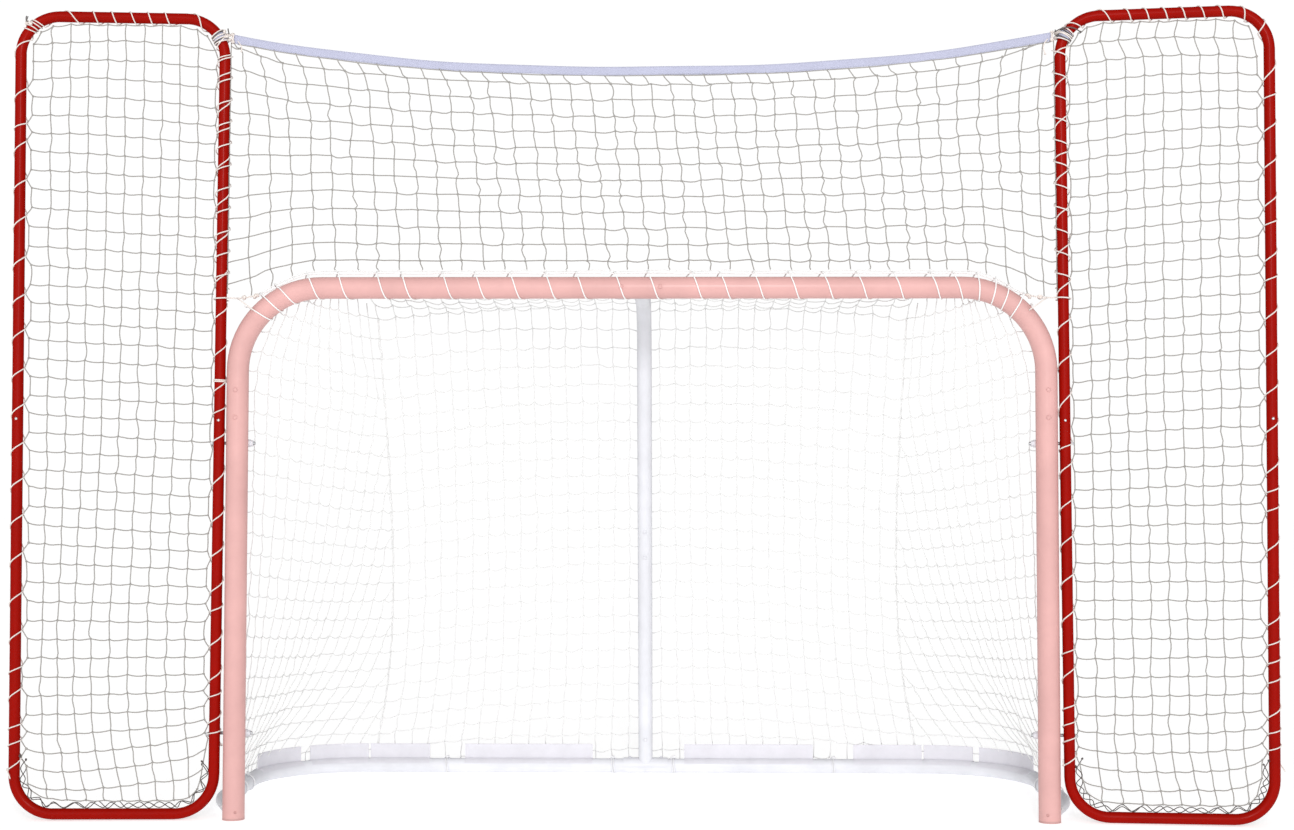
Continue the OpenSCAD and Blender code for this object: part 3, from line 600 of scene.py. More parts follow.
class Route:
    """The wing tube's centre line as a closed loop, with the direction away from the net."""

    def __init__(self):
        cl, ch = WING_LOW_W - WING_R, WING_HIGH_W - WING_R
        pts, nrm, self.mark = [], [], {}
        n_leg = np.array([math.cos(LEG_LEAN), -math.sin(LEG_LEAN)])

        def put(a, b, n, name):
            k = max(2, int(np.linalg.norm(np.subtract(b, a)) / 3))
            t = (np.arange(k) / k)[:, None]
            self.mark[name] = sum(map(len, pts))
            pts.append(np.array(a) + (np.array(b) - a) * t)
            nrm.append(np.repeat(np.array([n], float), k, 0))

        def arc(c, a0, a1, name):
            k = max(4, int(abs(a1 - a0) * WING_R / 3))
            a = a0 + (a1 - a0) * np.arange(k) / k
            n = np.stack([np.cos(a), np.sin(a)], -1)
            self.mark[name] = sum(map(len, pts))
            pts.append(np.array(c) + WING_R * n)
            nrm.append(n)

        put((0, LOW_Z), (0, HIGH_Z), (-1, 0), "hinge")
        arc((WING_R, HIGH_Z), math.pi, math.pi / 2, "corner_1")
        put((WING_R, WING_TOP), (ch, WING_TOP), (0, 1), "top")
        arc((ch, HIGH_Z), math.pi / 2, -LEG_LEAN, "corner_2")
        put(np.array([ch, HIGH_Z]) + WING_R * n_leg, np.array([cl, LOW_Z]) + WING_R * n_leg, n_leg, "leg")
        arc((cl, LOW_Z), -LEG_LEAN, -math.pi / 2, "corner_3")
        put((cl, WING_BASE), (WING_R, WING_BASE), (0, -1), "bottom")
        arc((WING_R, LOW_Z), -math.pi / 2, -math.pi, "corner_4")
        p, n = np.concatenate(pts), np.concatenate(nrm)
        self.p, self.n = np.vstack([p, p[:1]]), np.vstack([n, n[:1]])
        self.s = np.concatenate([[0], np.cumsum(np.linalg.norm(np.diff(self.p, axis=0), axis=1))])
        self.total = self.s[-1]
        self.mark = {k: self.s[i] for k, i in self.mark.items()}

    def at(self, s):
        s = np.mod(s, self.total)
        p = np.stack([np.interp(s, self.s, self.p[:, i]) for i in (0, 1)], -1)
        n = unit(np.stack([np.interp(s, self.s, self.n[:, i]) for i in (0, 1)], -1))
        return p, n

    def hinge_s(self, z):
        return self.mark["hinge"] + (np.asarray(z, float) - LOW_Z)

    def leg_s(self, z):
        return self.mark["leg"] + (HIGH_Z - np.asarray(z, float)) / math.cos(LEG_LEAN)


ROUTE = Route()


def out_point(s, r, phi, kind=1):
    """A point beside the tube: phi 0 on the net's side, a quarter turn at the front, a half turn outside."""
    p, n = ROUTE.at(s)
    c, f = np.cos(phi), np.sin(phi) * kind
    return np.stack([p[..., 0] - r * c * n[..., 0], -r * f, p[..., 1] - r * c * n[..., 1]], -1)


def winding(turns, r, kind, front, bulge=2.7, step=14, over=None):
    """A lace that passes on the net's side at each of turns; front is the share of the pitch that the first half turn takes."""
    out = []
    u = np.arange(step) / step
    g = u - (0.5 - front) * np.sin(math.pi * u)
    for a, b in zip(turns[:-1], turns[1:]):
        phi = 2 * math.pi * u
        near = np.exp(-(np.minimum(phi, 2 * math.pi - phi) / 0.55) ** 2)
        at = a + (b - a) * g
        lift = 0.0 if over is None else 2.7 * np.exp(-((at - over) / 17.0) ** 4)
        out.append(out_point(at, r + bulge * near + lift, phi, kind))
    out.append(out_point(np.array([turns[-1]]), np.array([r + bulge]), np.array([0.0]), kind))
    return np.concatenate(out)


CORNERS = ((WING_R, HIGH_Z, -1, 1), (WING_HIGH_W - WING_R, HIGH_Z, 1, 1), (WING_LOW_W - WING_R, LOW_Z, 1, -1), (WING_R, LOW_Z, -1, -1))
NET_CORNER_R = {1: WING_R - WR - 8.0, -1: WING_R - WR - 15.0}


def keep_in_corners(q):
    for cx, cz, sx, sz in CORNERS:
        dx, dz = q[:, 0] - cx, q[:, 2] - cz
        d = np.hypot(dx, dz)
        out = (dx * sx > 0) & (dz * sz > 0) & (d > NET_CORNER_R[sz])
        k = np.where(out, NET_CORNER_R[sz] / np.maximum(d, 1e-6), 1.0)
        q[:, 0], q[:, 2] = cx + dx * k, cz + dz * k
    return q


V_OUT = {-1: [1, 3, 5, 6, 8, 10, 12, 14, 16, 18, 20, 22, 24, 26, 28, 30, 32, 34, 35, 37, 38, 39],
         1: [1, 3, 4, 6, 8, 10, 11, 13, 14, 16, 18, 20, 22, 24, 25, 26, 28, 30, 32, 33, 34, 35, 37, 38, 39]}
V_IN = {-1: [1, 2, 4, 5, 7, 9, 11, 13, 15, 17, 19, 20, 22, 24, 26, 28, 30, 31, 33, 35, 36, 38, 39],
        1: [1, 2, 4, 6, 7, 9, 11, 13, 15, 17, 19, 21, 23, 25, 27, 29, 31, 33, 34, 36, 37, 38, 39]}
ROWS_W, COLS_W = 43, 11
# heights of some of the rows near the wing's middle; the first and the last row are the borders
ROW_AT = {-1: ([0, 1, 13, 21, 31, 41, 42], [1848.0, 1812.6, 1273.5, 927.2, 500.4, 77.0, 44.0]),
          1: ([0, 1, 13, 21, 31, 41, 42], [1848.0, 1813.5, 1292.5, 947.3, 510.5, 79.5, 44.0])}
R_NET = 1.45


def wing_net(side, body, prefix):
    rng = np.random.default_rng(40 + side)
    i = np.arange(ROWS_W)[:, None] * np.ones(COLS_W)[None]
    xh = np.ones(ROWS_W)[:, None] * np.linspace(0, 1, COLS_W)[None]
    z0 = np.interp(np.arange(ROWS_W), *ROW_AT[side])[:, None] * np.ones(COLS_W)[None]
    mid, power = (0.53, 1.1) if side < 0 else (0.61, 1.6)
    sag = 20 * ease(400, 700, z0) * (1 - ease(1700, 1850, z0)) if side < 0 else 29 * ease(500, 1130, z0) * (1 - ease(1600, 1840, z0))
    z = z0 - sag * ((1 - xh) ** power - (1 - mid) ** power) - 14 * ease(1430, 1840, z0) * (2 * xh - 1) ** 2 + 25 * (1 - ease(40, 330, z0)) * np.abs(2 * xh - 1) ** 4
    if side < 0:
        z += np.interp(z0, [44, 77, 161, 246, 331, 420], [25, 45, 39, 17, 8, 0]) * ((1 - xh) ** 1.2 - 0.4)
    else:
        z += 12.0 * (1 - ease(250, 540, z0)) * (xh - mid)
    z[0] = 1848.0
    z[-1] = 44.0 + 14 * np.abs(2 * xh[0] - 1) ** 6
    leg = np.interp(z, [LOW_Z, HIGH_Z], [WING_LOW_W, WING_HIGH_W])
    xl, xr = WR + 8.0, leg - WR - 15.5
    x = xl + (xr - xl) * xh
    x += 5.0 * np.sin(z0 / 310.0 + side) * xh * (1 - xh) * 2
    bow = np.sin(math.pi * xh)
    if side < 0:
        x += np.interp(z0, [44, 77, 115, 200, 300, 420, 560, 870], [-14, -9, 0, 14, 21, 19, 13, 0]) * bow ** 0.6
    else:
        x += 24.0 * (1 - ease(30, 190, z0)) * bow ** 0.7
        x[1] -= 18.0 * bow[1] ** 0.5
        x[0] -= 8.0 * bow[0] ** 0.5
    y = 3.2 * np.sin(z0 / 170.0 + 2.2 * xh + side) * np.sin(math.pi * xh) + 2.0 * np.sin(z0 / 61.0 - 5 * xh) * np.sin(math.pi * xh)
    q = np.stack([x, y, z], -1).reshape(-1, 3)
    inner = ((xh > 0) & (xh < 1) & (i > 0) & (i < ROWS_W - 1)).ravel()
    q += rng.normal(0, 1.0, q.shape) * np.array([1.0, 1.6, 0.9]) * inner[:, None]
    q = keep_in_corners(q)
    idx = np.arange(ROWS_W * COLS_W).reshape(ROWS_W, COLS_W)
    # the lace holds some of the border's bars against the tubes
    hold, hold_edge, skip = [], [], set()
    pass_in, pass_out = [], []
    for col, which, s_of, store in ((0, V_IN[side], ROUTE.hinge_s, pass_in), (COLS_W - 1, V_OUT[side], ROUTE.leg_s, pass_out)):
        for k in which:
            a, b = idx[k, col], idx[k + 1, col]
            zm = 0.5 * (q[a, 2] + q[b, 2]) + rng.uniform(-3, 3)
            if not LOW_Z + 4 < zm < HIGH_Z - 2:
                continue
            s = float(s_of(zm))
            n = len(q) + len(hold)
            hold.append(out_point(np.array([s]), np.array([WR + R_NET + 0.5]), np.array([0.0]))[0])
            hold_edge += [(a, n), (n, b)]
            skip.add((a, b))
            store.append((s, n, a, b))
    q = np.vstack([q, hold])
    rows = [(idx[a, b], idx[a, b + 1]) for a in range(ROWS_W) for b in range(COLS_W - 1)]
    cols = [(idx[a, b], idx[a + 1, b]) for a in range(ROWS_W - 1) for b in range(COLS_W) if (idx[a, b], idx[a + 1, b]) not in skip]
    edges = np.array(rows + cols + hold_edge)
    rest = np.concatenate([np.full(len(rows), 44.0), np.full(len(cols), 46.0), np.full(len(hold_edge), 24.4)])
    free = np.ones(len(q))
    free[idx[0]] = 0
    free[idx[-1]] = 0
    free[idx.max() + 1:] = 0
    free[idx[:, 0]] *= 0.8
    free[idx[:, -1]] *= 0.8
    q = relax(q, free, edges, rest, 90, weight=0.02, keep=keep_in_corners)
    p = wing_place(q, side)
    mk = Maker()
    for a in range(ROWS_W):
        net_cord(mk, p[idx[a]], 44.6, R_NET, rng, wob=0.6, limit=2.6)
    by_pair = {(a, b): n for store in (pass_in, pass_out) for s, n, a, b in store}
    for b in range(COLS_W):
        line = []
        for a in range(ROWS_W):
            line.append(idx[a, b])
            if a < ROWS_W - 1 and (idx[a, b], idx[a + 1, b]) in by_pair:
                line.append(by_pair[(idx[a, b], idx[a + 1, b])])
        if b in (0, COLS_W - 1):
            line = np.array(line)
            gaps = np.linalg.norm(np.diff(p[line], axis=0), axis=1)
            net_cord(mk, p[line], gaps + 0.35, R_NET, rng, seg=4, wob=0.25)
        else:
            net_cord(mk, p[line], 45.0, R_NET, rng, wob=0.7)
    tie_knots(mk, p[idx.ravel()], rng)
    mk.make(prefix + "_wing_net_cords", M_BACKNET, body, (prefix + "_wing_net",), "backstop_net_cord")

    # the spiral lace: up the hinge tube, along the top and down the outer tube
    top_row = q[idx[0]]
    turns = sorted(s for s, *_ in pass_in)
    for zh in HOOKS:
        near_hook = int(np.argmin(np.abs(np.array(turns) - ROUTE.hinge_s(zh))))
        turns[near_hook] = float(ROUTE.hinge_s(zh))
    c1, t0, c2, l0 = (ROUTE.mark[k] for k in ("corner_1", "top", "corner_2", "leg"))
    turns += [c1 + 24, c1 + 93]
    mids = 0.5 * (top_row[:-1, 0] + top_row[1:, 0])
    turns += [t0 + m - WING_R + rng.uniform(-3, 3) for m in mids if WING_R + 4 < m < WING_HIGH_W - WING_R - 4]
    turns += [c2 + 45, c2 + 98]
    turns += sorted(s for s, *_ in pass_out)
    kind, front = (1, 0.39) if side < 0 else (-1, 0.61)
    lace = winding(turns, WR + 1.6, kind, front, over=c1 + 47)
    head = out_point(turns[0] + np.array([-26.0, -19.0, -10.0, -4.0]), np.array([16.0, 15.0, 15.6, 16.6]), np.array([2.6, 1.7, 0.8, 0.2]) * -1, kind)
    tail = out_point(turns[-1] + np.array([5.0, 12.0, 20.0, 27.0]), np.array([16.4, 15.2, 15.0, 16.5]), np.array([0.3, 0.9, 1.7, 2.4]), kind)
    local = np.vstack([head, lace, tail])
    mk = Maker()
    mk.tube(wing_place(local, side), 1.5, 6)
    made_lengths[prefix + "_wing_lace"] = length_of(local)
    # turns and knots over the strap's loop; two of the turns and the loose ends are near-black twine as painted shade,
    # the same as the foot lace
    dark = Maker()
    full = np.linspace(0, 2 * math.pi, 23)
    for k, (ds, tilt) in enumerate(((36.0, 0.5), (40.5, -0.6), (45.0, 0.9), (50.0, -0.5), (54.5, 0.7), (59.0, -0.4))):
        ring = out_point(c1 + ds + 2.2 * tilt * np.cos(full + k), WR + 4.3 + 0.5 * np.sin(full * 2 + k), full, kind)
        (dark if k in (1, 4) else mk).tube(wing_place(ring, side), 1.55, 6)
        made_lengths[prefix + "_wing_lace"] += length_of(ring)
    cluster = out_point(c1 + np.array([35.0, 41.0, 47.0, 53.0, 44.0]), WR + np.array([6.0, 7.2, 6.5, 6.6, 9.5]), np.array([3.0, 2.5, 3.3, 2.7, 3.0]), kind)
    tie_knots(mk, wing_place(cluster, side), rng, 1.9)
    tail_2 = out_point(c1 + np.array([44.0, 46.0, 50.0, 52.0]), WR + np.array([9.0, 13.0, 16.0, 20.0]), np.array([3.0, 2.8, 2.7, 2.6]), kind)
    dark.tube(wing_place(tail_2, side), 1.4, 6)
    if side < 0:
        # a close double ring on the hinge tube, and a knot with two tails at the far top corner; the tails are
        # near-black twine as painted shade
        for dz in (-1.7, 1.7):
            ring = out_point(ROUTE.hinge_s(1014.0 + dz) + 0.5 * np.cos(full), WR + 1.8 + 0 * full, full, kind)
            mk.tube(wing_place(ring, side), 1.65, 6)
        for ds in (60.0, 72.0, 79.0):
            ring = out_point(c2 + ds + 5.0 * np.cos(full + ds), WR + 1.9 + 0 * full, full, kind)
            mk.tube(wing_place(ring, side), 1.5, 6)
        knot = out_point(c2 + np.array([68.0, 74.0, 71.0]), WR + np.array([4.0, 4.4, 6.5]), np.array([1.9, 2.4, 2.9]), kind)
        tie_knots(mk, wing_place(knot, side), rng, 1.8)
        for p1, p2 in ((2.7, 2.2), (3.2, 3.5)):
            e = out_point(c2 + np.array([71.0, 70.0, 67.0, 64.0]), WR + np.array([6.0, 10.0, 15.0, 21.0]), np.array([2.7, p1, 0.5 * (p1 + p2), p2]), kind)
            dark.tube(wing_place(e, side), 1.35, 6)
    if side > 0:
        # a loose end at the right wing's top corner, in near-black twine as painted shade
        loose = spline(np.array([(962, -14, 1826), (974, -20, 1832), (990, -21, 1836), (1008, -19, 1834), (1022, -17, 1826)], float), 3.5)
        dark.tube(loose, 1.4, 6)
        tie_knots(dark, loose[[-1]], rng, 1.05)
    ends = wing_place(local[[0, -1]], side)
    tie_knots(mk, ends, rng, 1.45)
    for e, d in zip(ends, ((-0.3, -0.4, 0.8), (0.35, -0.5, -0.8))):
        d = unit(np.array(d, float))
        mk.tube(np.array([e, e + 6 * d, e + 13 * d + [1.5, 0, -1], e + 20 * d + [3, 0, -3]]), 1.4, 6)
    mk.make(prefix + "_wing_lace_cord", M_LACE, body, (prefix + "_wing_lace",), "lace_cord")
    # the foot lace: two crossing zigzags between the bottom tube and the net's border; the lace is real, and its
    # near-black colour is painted shade
    mk = dark
    s0, s1 = float(ROUTE.leg_s(150.0)), ROUTE.total + float(ROUTE.hinge_s(150.0))
    for turn, start_ in ((0, 0.0), (1, 9.0)):
        zig, s, up_ = [], s0 + 3 + start_, bool(turn)
        while s < s1 - 3:
            r = WR + (rng.uniform(12.0, 17.0) if up_ else 1.6)
            zig.append(out_point(np.array([s]), np.array([r]), np.array([(0.14 if up_ else -0.25) * (1 if turn else -1)]))[0])
            up_ = not up_
            s += (22.0 if turn else 25.0) + rng.uniform(-4.0, 4.0)
        zig = spline(zig, 4.5)
        mk.tube(wing_place(zig, side), 1.15, 5)
        made_lengths[prefix + "_foot_zigzag_%d" % turn] = length_of(zig)
        tie_knots(mk, wing_place(zig[[0, -1]], side), rng, 1.2)
    mk.make(prefix + "_wing_dark_cords_painted_shade", M_SHADE_TWINE, body, (), "tie_cord")
    return q, idx


for side_, body_, prefix_ in ((-1, "left_wing", "left"), (1, "right_wing", "right")):
    wing_net(side_, body_, prefix_)


# ------------------------------------------------------------------ upper net between the wings
def ring_route(side, z_top, z_low):
    """The hinge tube's centre from z_top down to z_low."""
    z = np.arange(z_top, z_low, -2.0)
    return np.stack([side * tube_x(z), np.zeros_like(z), z], -1)


def around(c, n, f, r, phi):
    """Points beside a line through c: phi 0 along n, a quarter turn along f."""
    phi, r = np.asarray(phi, float), np.asarray(r, float)
    return c + (r * np.cos(phi))[:, None] * n + (r * np.sin(phi))[:, None] * f


TOP_COLS, TOP_ROWS, R_TOP = 42, 12, 1.45
STATION = np.array([0.0, 250.0, 500.0, 700.0, 784.0, 850.0, 913.0, 956.0])
FIRST = np.array([1709.7, 1711.5, 1723.0, 1742.5, 1754.6, 1772.0, 1797.0, 1812.0])
LAST = np.array([1295.2, 1295.4, 1296.0, 1297.5, 1297.0, 1281.0, 1256.0, 1240.0])


def fine(x, xs, ys):
    """Interpolates with a smooth curve through the stations."""
    g = np.linspace(0, xs[-1], 480)
    v = np.interp(g, xs, ys)
    k = np.hanning(61)
    k /= k.sum()
    v2 = np.convolve(np.concatenate([v[30:0:-1], v, np.full(30, v[-1]) + (np.arange(30) + 1) * (v[-1] - v[-2])]), k, "valid")
    return np.interp(np.abs(x), g, v2)


def top_row_z(x, r):
    """Height of row r (0 to TOP_ROWS - 1) of the upper net at x."""
    a, b = fine(x, STATION, FIRST), fine(x, STATION, LAST)
    return a + (b - a) * r / (TOP_ROWS - 1.0) - 10.0 * ease(700, 900, -np.asarray(x, float)) * (1 - r / (TOP_ROWS - 1.0))


HEM_X = np.array([0.0, 300.0, 600.0, 745.0, 784.0, 812.0, 854.0, 896.0, 925.0, 951.0])
HEM_Z = np.array([1272.0, 1271.5, 1271.5, 1271.0, 1268.5, 1259.0, 1238.5, 1215.0, 1209.0, 1208.0])


def hem_z(x):
    return np.interp(np.abs(x), HEM_X, HEM_Z)


def top_net():
    rng = np.random.default_rng(7)
    c = np.arange(TOP_COLS)
    edge = np.array([tube_x(1500.0) - WR])[0]
    x0 = -edge + 2 * edge * c / (TOP_COLS - 1)
    r = np.arange(TOP_ROWS)
    X = np.zeros((TOP_ROWS, TOP_COLS))
    Z = np.zeros_like(X)
    Y = np.zeros_like(X)
    for k in r:
        xh = x0 / edge
        x = x0 + (34 * (1 - xh ** 2) + 7.5 * (1 + xh)) * k / 11.0 * (np.abs(xh) < 0.999)
        X[k] = x
        X[k] = X[k] + xh * np.abs(xh) * 24.0 * math.exp(-k / 1.5) * (np.abs(xh) < 0.999)
        Z[k] = top_row_z(X[k], k)
        z_t = Z[k, [0, -1]]
        X[k, 0], X[k, -1] = -(tube_x(z_t[0]) - WR - 1.6), tube_x(z_t[1]) - WR - 1.6
        Y[k] = 2.6 * np.sin(x / 190.0 + k * 0.3) * (1 - np.abs(xh) ** 6) + 1.6 * np.sin(x / 47.0 - k)
    Y[:, [0, -1]] = 0
    q = np.stack([X, Y, Z], -1)
    q[:, 1:-1] += rng.normal(0, 1.0, q[:, 1:-1].shape) * [1.3, 1.6, 0.9]
    mk = Maker()
    # rows from tube to tube
    for k in r:
        net_cord(mk, q[k], np.maximum(47.0, np.linalg.norm(np.diff(q[k], axis=0), axis=1)), R_TOP, rng, wob=0.6)
    # columns, from the strap's lower edge to the hem
    hem_nodes = []
    for j in range(1, TOP_COLS - 1):
        x1, x2 = q[0, j, 0], q[-1, j, 0]
        lean = 19 + rng.normal(0, 2.0) - 34 * ease(620, 930, x1)
        head = np.array([x1 - lean, 0.0, strap_z(x1 - lean) - STRAP_W / 2 + 1.5])
        col = [q[k, j] for k in r]
        if head[2] - col[0][2] > 4:
            col = [head] + col
        foot_x = x2 + rng.normal(3, 2)
        foot = np.array([foot_x, 1.0, hem_z(foot_x) + 1.0])
        while len(col) > 3 and col[-1][2] < foot[2] + 6:
            col.pop()
        hem_nodes.append(foot)
        col.append(foot)
        col = np.array(col)
        net_cord(mk, col, np.maximum(45.6, np.linalg.norm(np.diff(col, axis=0), axis=1)) * 1.0, R_TOP, rng, wob=1.3, limit=7.0)
    pts = q[:, 1:-1].reshape(-1, 3)
    keep = pts[:, 2] > hem_z(pts[:, 0]) + 6
    tie_knots(mk, pts[keep], rng)
    # border cords: along the strap, down both tubes, and two hems over the crossbar
    xs = np.arange(-STRAP_END_X + 14, STRAP_END_X - 13, 9.0)
    mk.tube(np.stack([xs, 0.6 * np.sin(xs / 14.0), strap_z(xs) - STRAP_W / 2 - 1.2 + 0.5 * np.sin(xs / 31.0)], -1), 1.4, 5)
    for s in (-1, 1):
        z = np.arange(1812.0, 1212.0, -9.0)
        mk.tube(np.stack([s * (tube_x(z) - WR - 1.7), 1.2 * np.sin(z / 11.0), z], -1), 1.35, 5)
    mk.make("top_net_cords", M_BACKNET, "goal_frame", ("top_net",), "backstop_net_cord")
    mk = Maker()
    for dz, dy, ph in ((0.0, 1.6, 0.0), (-6.5, -2.0, 1.3)):
        xs = np.arange(-951.0, 952.0, 8.0)
        z = hem_z(xs) + dz * np.clip((930 - np.abs(xs)) / 60, 0.2, 1.0) + 0.8 * np.sin(xs / 24.0 + ph)
        mk.tube(np.stack([xs, dy + 0.6 * np.sin(xs / 17.0 + ph), z], -1), 1.5, 5)
    tie_knots(mk, hem_nodes, rng, 0.9)
    mk.make("top_net_hem_cords", M_WHITE, "goal_frame", (), "goal_net_cord")
    return q


def side_lace(mk, s, q, rng):
    """The upper net's lace round one hinge tube, one turn for each mesh."""
    col = 0 if s < 0 else -1
    zs = list(0.5 * (q[:-1, col, 2] + q[1:, col, 2]))
    zs = zs + [q[-1, col, 2] - 14]
    zs = np.array([z for z in zs if abs(z - STRAP_END_Z) > 12])
    out, step = [], 14
    u = np.arange(step) / step
    g = u - 0.1 * np.sin(math.pi * u)
    for a, b in zip(zs[:-1], zs[1:]):
        z = a + (b - a) * g
        phi = 2 * math.pi * u
        near = np.exp(-(np.minimum(phi, 2 * math.pi - phi) / 0.5) ** 2)
        c = np.stack([s * tube_x(z), 0 * z, z], -1)
        out.append(around(c, np.array([-s, 0, 0.0]), np.array([0, -1.0, 0]), WR + 4.9 + 0.9 * near, phi))
    path = np.concatenate(out)
    mk.tube(path, 1.5, 6)
    return length_of(path)


def bundle(mk, s, rng):
    """The knot that ties the strap's end loop to the wing's corner: turns of cord, two crossed turns and loose tails."""
    zc = STRAP_END_Z
    cx = s * (STRAP_END_X - 7)
    total = 0.0
    for k, (dx, tilt) in enumerate(((1.5, 0.15), (4.6, -0.12))):
        a = np.linspace(0, 2 * math.pi, 25)
        path = np.stack([s * (STRAP_END_X - dx + tilt * 8 * np.cos(a)), 3.1 * np.sin(a) * (1 + 0.25 * np.abs(np.sin(a))), zc + 12.0 * np.cos(a)], -1)
        mk.tube(path, 1.5, 6)
        total += length_of(path)
    tails = {
        -1: (((-946, -7, 1812), (-940, -10, 1804), (-936, -11, 1796), (-937, -10, 1787)),),
        1: (((948, -8, 1812), (940, -11, 1802), (937, -11, 1790), (941, -10, 1776)),),
    }
    for t in tails[s]:
        path = spline(np.array(t, float), 3.5)
        mk.tube(path, 1.4, 6)
        tie_knots(mk, path[[-1]], rng, 1.05)
        total += length_of(path)
    tie_knots(mk, [[cx + s * 5, -4.5, zc + 9], [cx + s * 3, -4.5, zc - 9]], rng, 1.6)
    return total


def top_laces(q):
    rng = np.random.default_rng(11)
    mk = Maker()
    for s in (-1, 1):
        made_lengths["top_net_lace_%s" % ("left" if s < 0 else "right")] = side_lace(mk, s, q, rng)
        made_lengths["strap_tie_%s" % ("left" if s < 0 else "right")] = bundle(mk, s, rng)
        # the lower corner: knot at the crossbar's bend, a level cord to the tube and a turn round it
        kx, kz = s * 897.0, 1214.0
        tx = tube_x(1206.0)
        a = np.linspace(0, 2 * math.pi, 15)
        loop = np.stack([s * tx - s * (WR + 4.6) * np.cos(a), -(WR + 4.6) * np.sin(a), 1206.0 - 3.0 * a / math.pi + 2], -1)
        level = spline([[kx, -3, kz], [s * 915, -4, 1210], [s * 935, -3, 1207.5], [s * (tx - WR - 4.6), 0, 1208.0]], 4.0)
        path = np.vstack([level, loop[1:]])
        mk.tube(path, 1.7, 6)
        d = spline([[s * 941, -8, 1206], [s * 930, -24, 1200], [s * 915, -28.5, 1189], [s * 905, -27.6, 1182], [s * 897, -24, 1176]], 4.0)
        mk.tube(d, 1.6, 6)
        tie_knots(mk, [[kx, -3, kz], [s * 926, -4, 1208.5], [kx + s * 4, -5, kz - 4]], rng, 2.1)
    mk.make("top_net_lace_cord", M_LACE, "goal_frame", ("top_net_laces",), "lace_cord")


top_q = top_net()
top_laces(top_q)


# ------------------------------------------------------------------ webbing strap
def band(mk, centre, wide, thick_dir, width, thick):
    """A flat band with rounded edges along centre; wide and thick_dir are unit vectors for each point."""
    n = len(centre)
    half, t = width / 2, thick / 2
    sec = [(-half + 0.3, -t), (-half * 0.5, -t * 1.02), (0, -t), (half * 0.5, -t * 1.02), (half - 0.3, -t), (half + 0.25, -t * 0.35), (half + 0.25, t * 0.35),
           (half - 0.3, t), (half * 0.5, t * 1.02), (0, t), (-half * 0.5, t * 1.02), (-half + 0.3, t), (-half - 0.25, t * 0.35), (-half - 0.25, -t * 0.35)]
    sec = np.array(sec)
    k = len(sec)
    v = centre[:, None] + sec[None, :, 0, None] * wide[:, None] + sec[None, :, 1, None] * thick_dir[:, None]
    i = np.arange(n - 1)[:, None] * k
    j = np.arange(k)[None]
    jn = (j + 1) % k
    faces = np.stack([i + j, i + k + j, i + k + jn, i + jn], -1).reshape(-1, 4)
    s = np.concatenate([[0], np.cumsum(np.linalg.norm(np.diff(centre, axis=0), axis=1))]) / 10.0
    uc = (sec[:, 0] + half) / width
    U0, U1 = np.broadcast_to(uc[None, :], (n - 1, k)), np.broadcast_to(uc[(np.arange(k) + 1) % k][None, :], (n - 1, k))
    S0, S1 = np.broadcast_to(s[:-1, None], (n - 1, k)), np.broadcast_to(s[1:, None], (n - 1, k))
    uv = np.stack([np.stack([U0, S0], -1), np.stack([U0, S1], -1), np.stack([U1, S1], -1), np.stack([U1, S0], -1)], -2).reshape(-1, 4, 2)
    base = mk.n
    mk.add(v.reshape(-1, 3), faces, uv)
    mk.more_faces([base + np.arange(k), (base + (n - 1) * k + np.arange(k))[::-1]])


def strap():
    x = np.linspace(-STRAP_END_X, STRAP_END_X, 240)
    z = strap_z(x) + 0.8 * np.sin(x / 61.0)
    y = 0.9 * np.sin(x / 83.0) * (1 - (x / STRAP_END_X) ** 8)
    c = np.stack([x, y, z], -1)
    t = unit(np.gradient(c, axis=0))
    roll = 0.10 * np.sin(x / 140.0) * (1 - (x / STRAP_END_X) ** 8)
    side = np.array([0.0, -1.0, 0.0]) + 0 * t
    side = unit(side - (side * t).sum(1, keepdims=True) * t)
    upv = np.cross(side, t)
    upv = upv * np.sign(upv[:, 2:3])
    wide = unit(upv * np.cos(roll)[:, None] + side * np.sin(roll)[:, None])
    thick = unit(np.cross(t, wide))
    mk = Maker()
    band(mk, c, wide, thick, STRAP_W, 2.0)
    made_lengths["strap"] = length_of(c)
    # one line of stitches along each edge
    o = mk.make("top_strap_webbing", M_STRAP, "goal_frame", ("top_strap",), "strap_webbing")
    st = Maker()
    s_at = np.concatenate([[0], np.cumsum(np.linalg.norm(np.diff(c, axis=0), axis=1))])
    def on(s, w, lift):
        f = [np.interp(s, s_at, a[:, i]) for a in (c, wide, thick) for i in range(3)]
        p, wv, tv = (np.stack(f[i:i + 3], -1) for i in (0, 3, 6))
        return p + w * wv + lift * tv
    total = s_at[-1]
    for w in (-8.2, 8.2):
        for k in range(int(total / 6.0)):
            a = 3 + 6.0 * k
            for lift in (-1.12, 1.12):
                if lift * thick[0, 1] > 0 and k % 2:
                    continue
                st.tube(np.stack([on(a, w, lift * 0.75), on(a + 1.3, w, lift), on(a + 3.0, w, lift), on(a + 4.3, w, lift * 0.75)]), 0.38, 4, cap=False)
    made = st.make("top_strap_stitching", M_THREAD, "goal_frame", (), "strap_webbing")
    return o, made


M_THREAD = braid("strap_thread", (0.46, 0.47, 0.58), 0.8, 2.0, 9.0)
strap_piece, strap_stitches = strap()


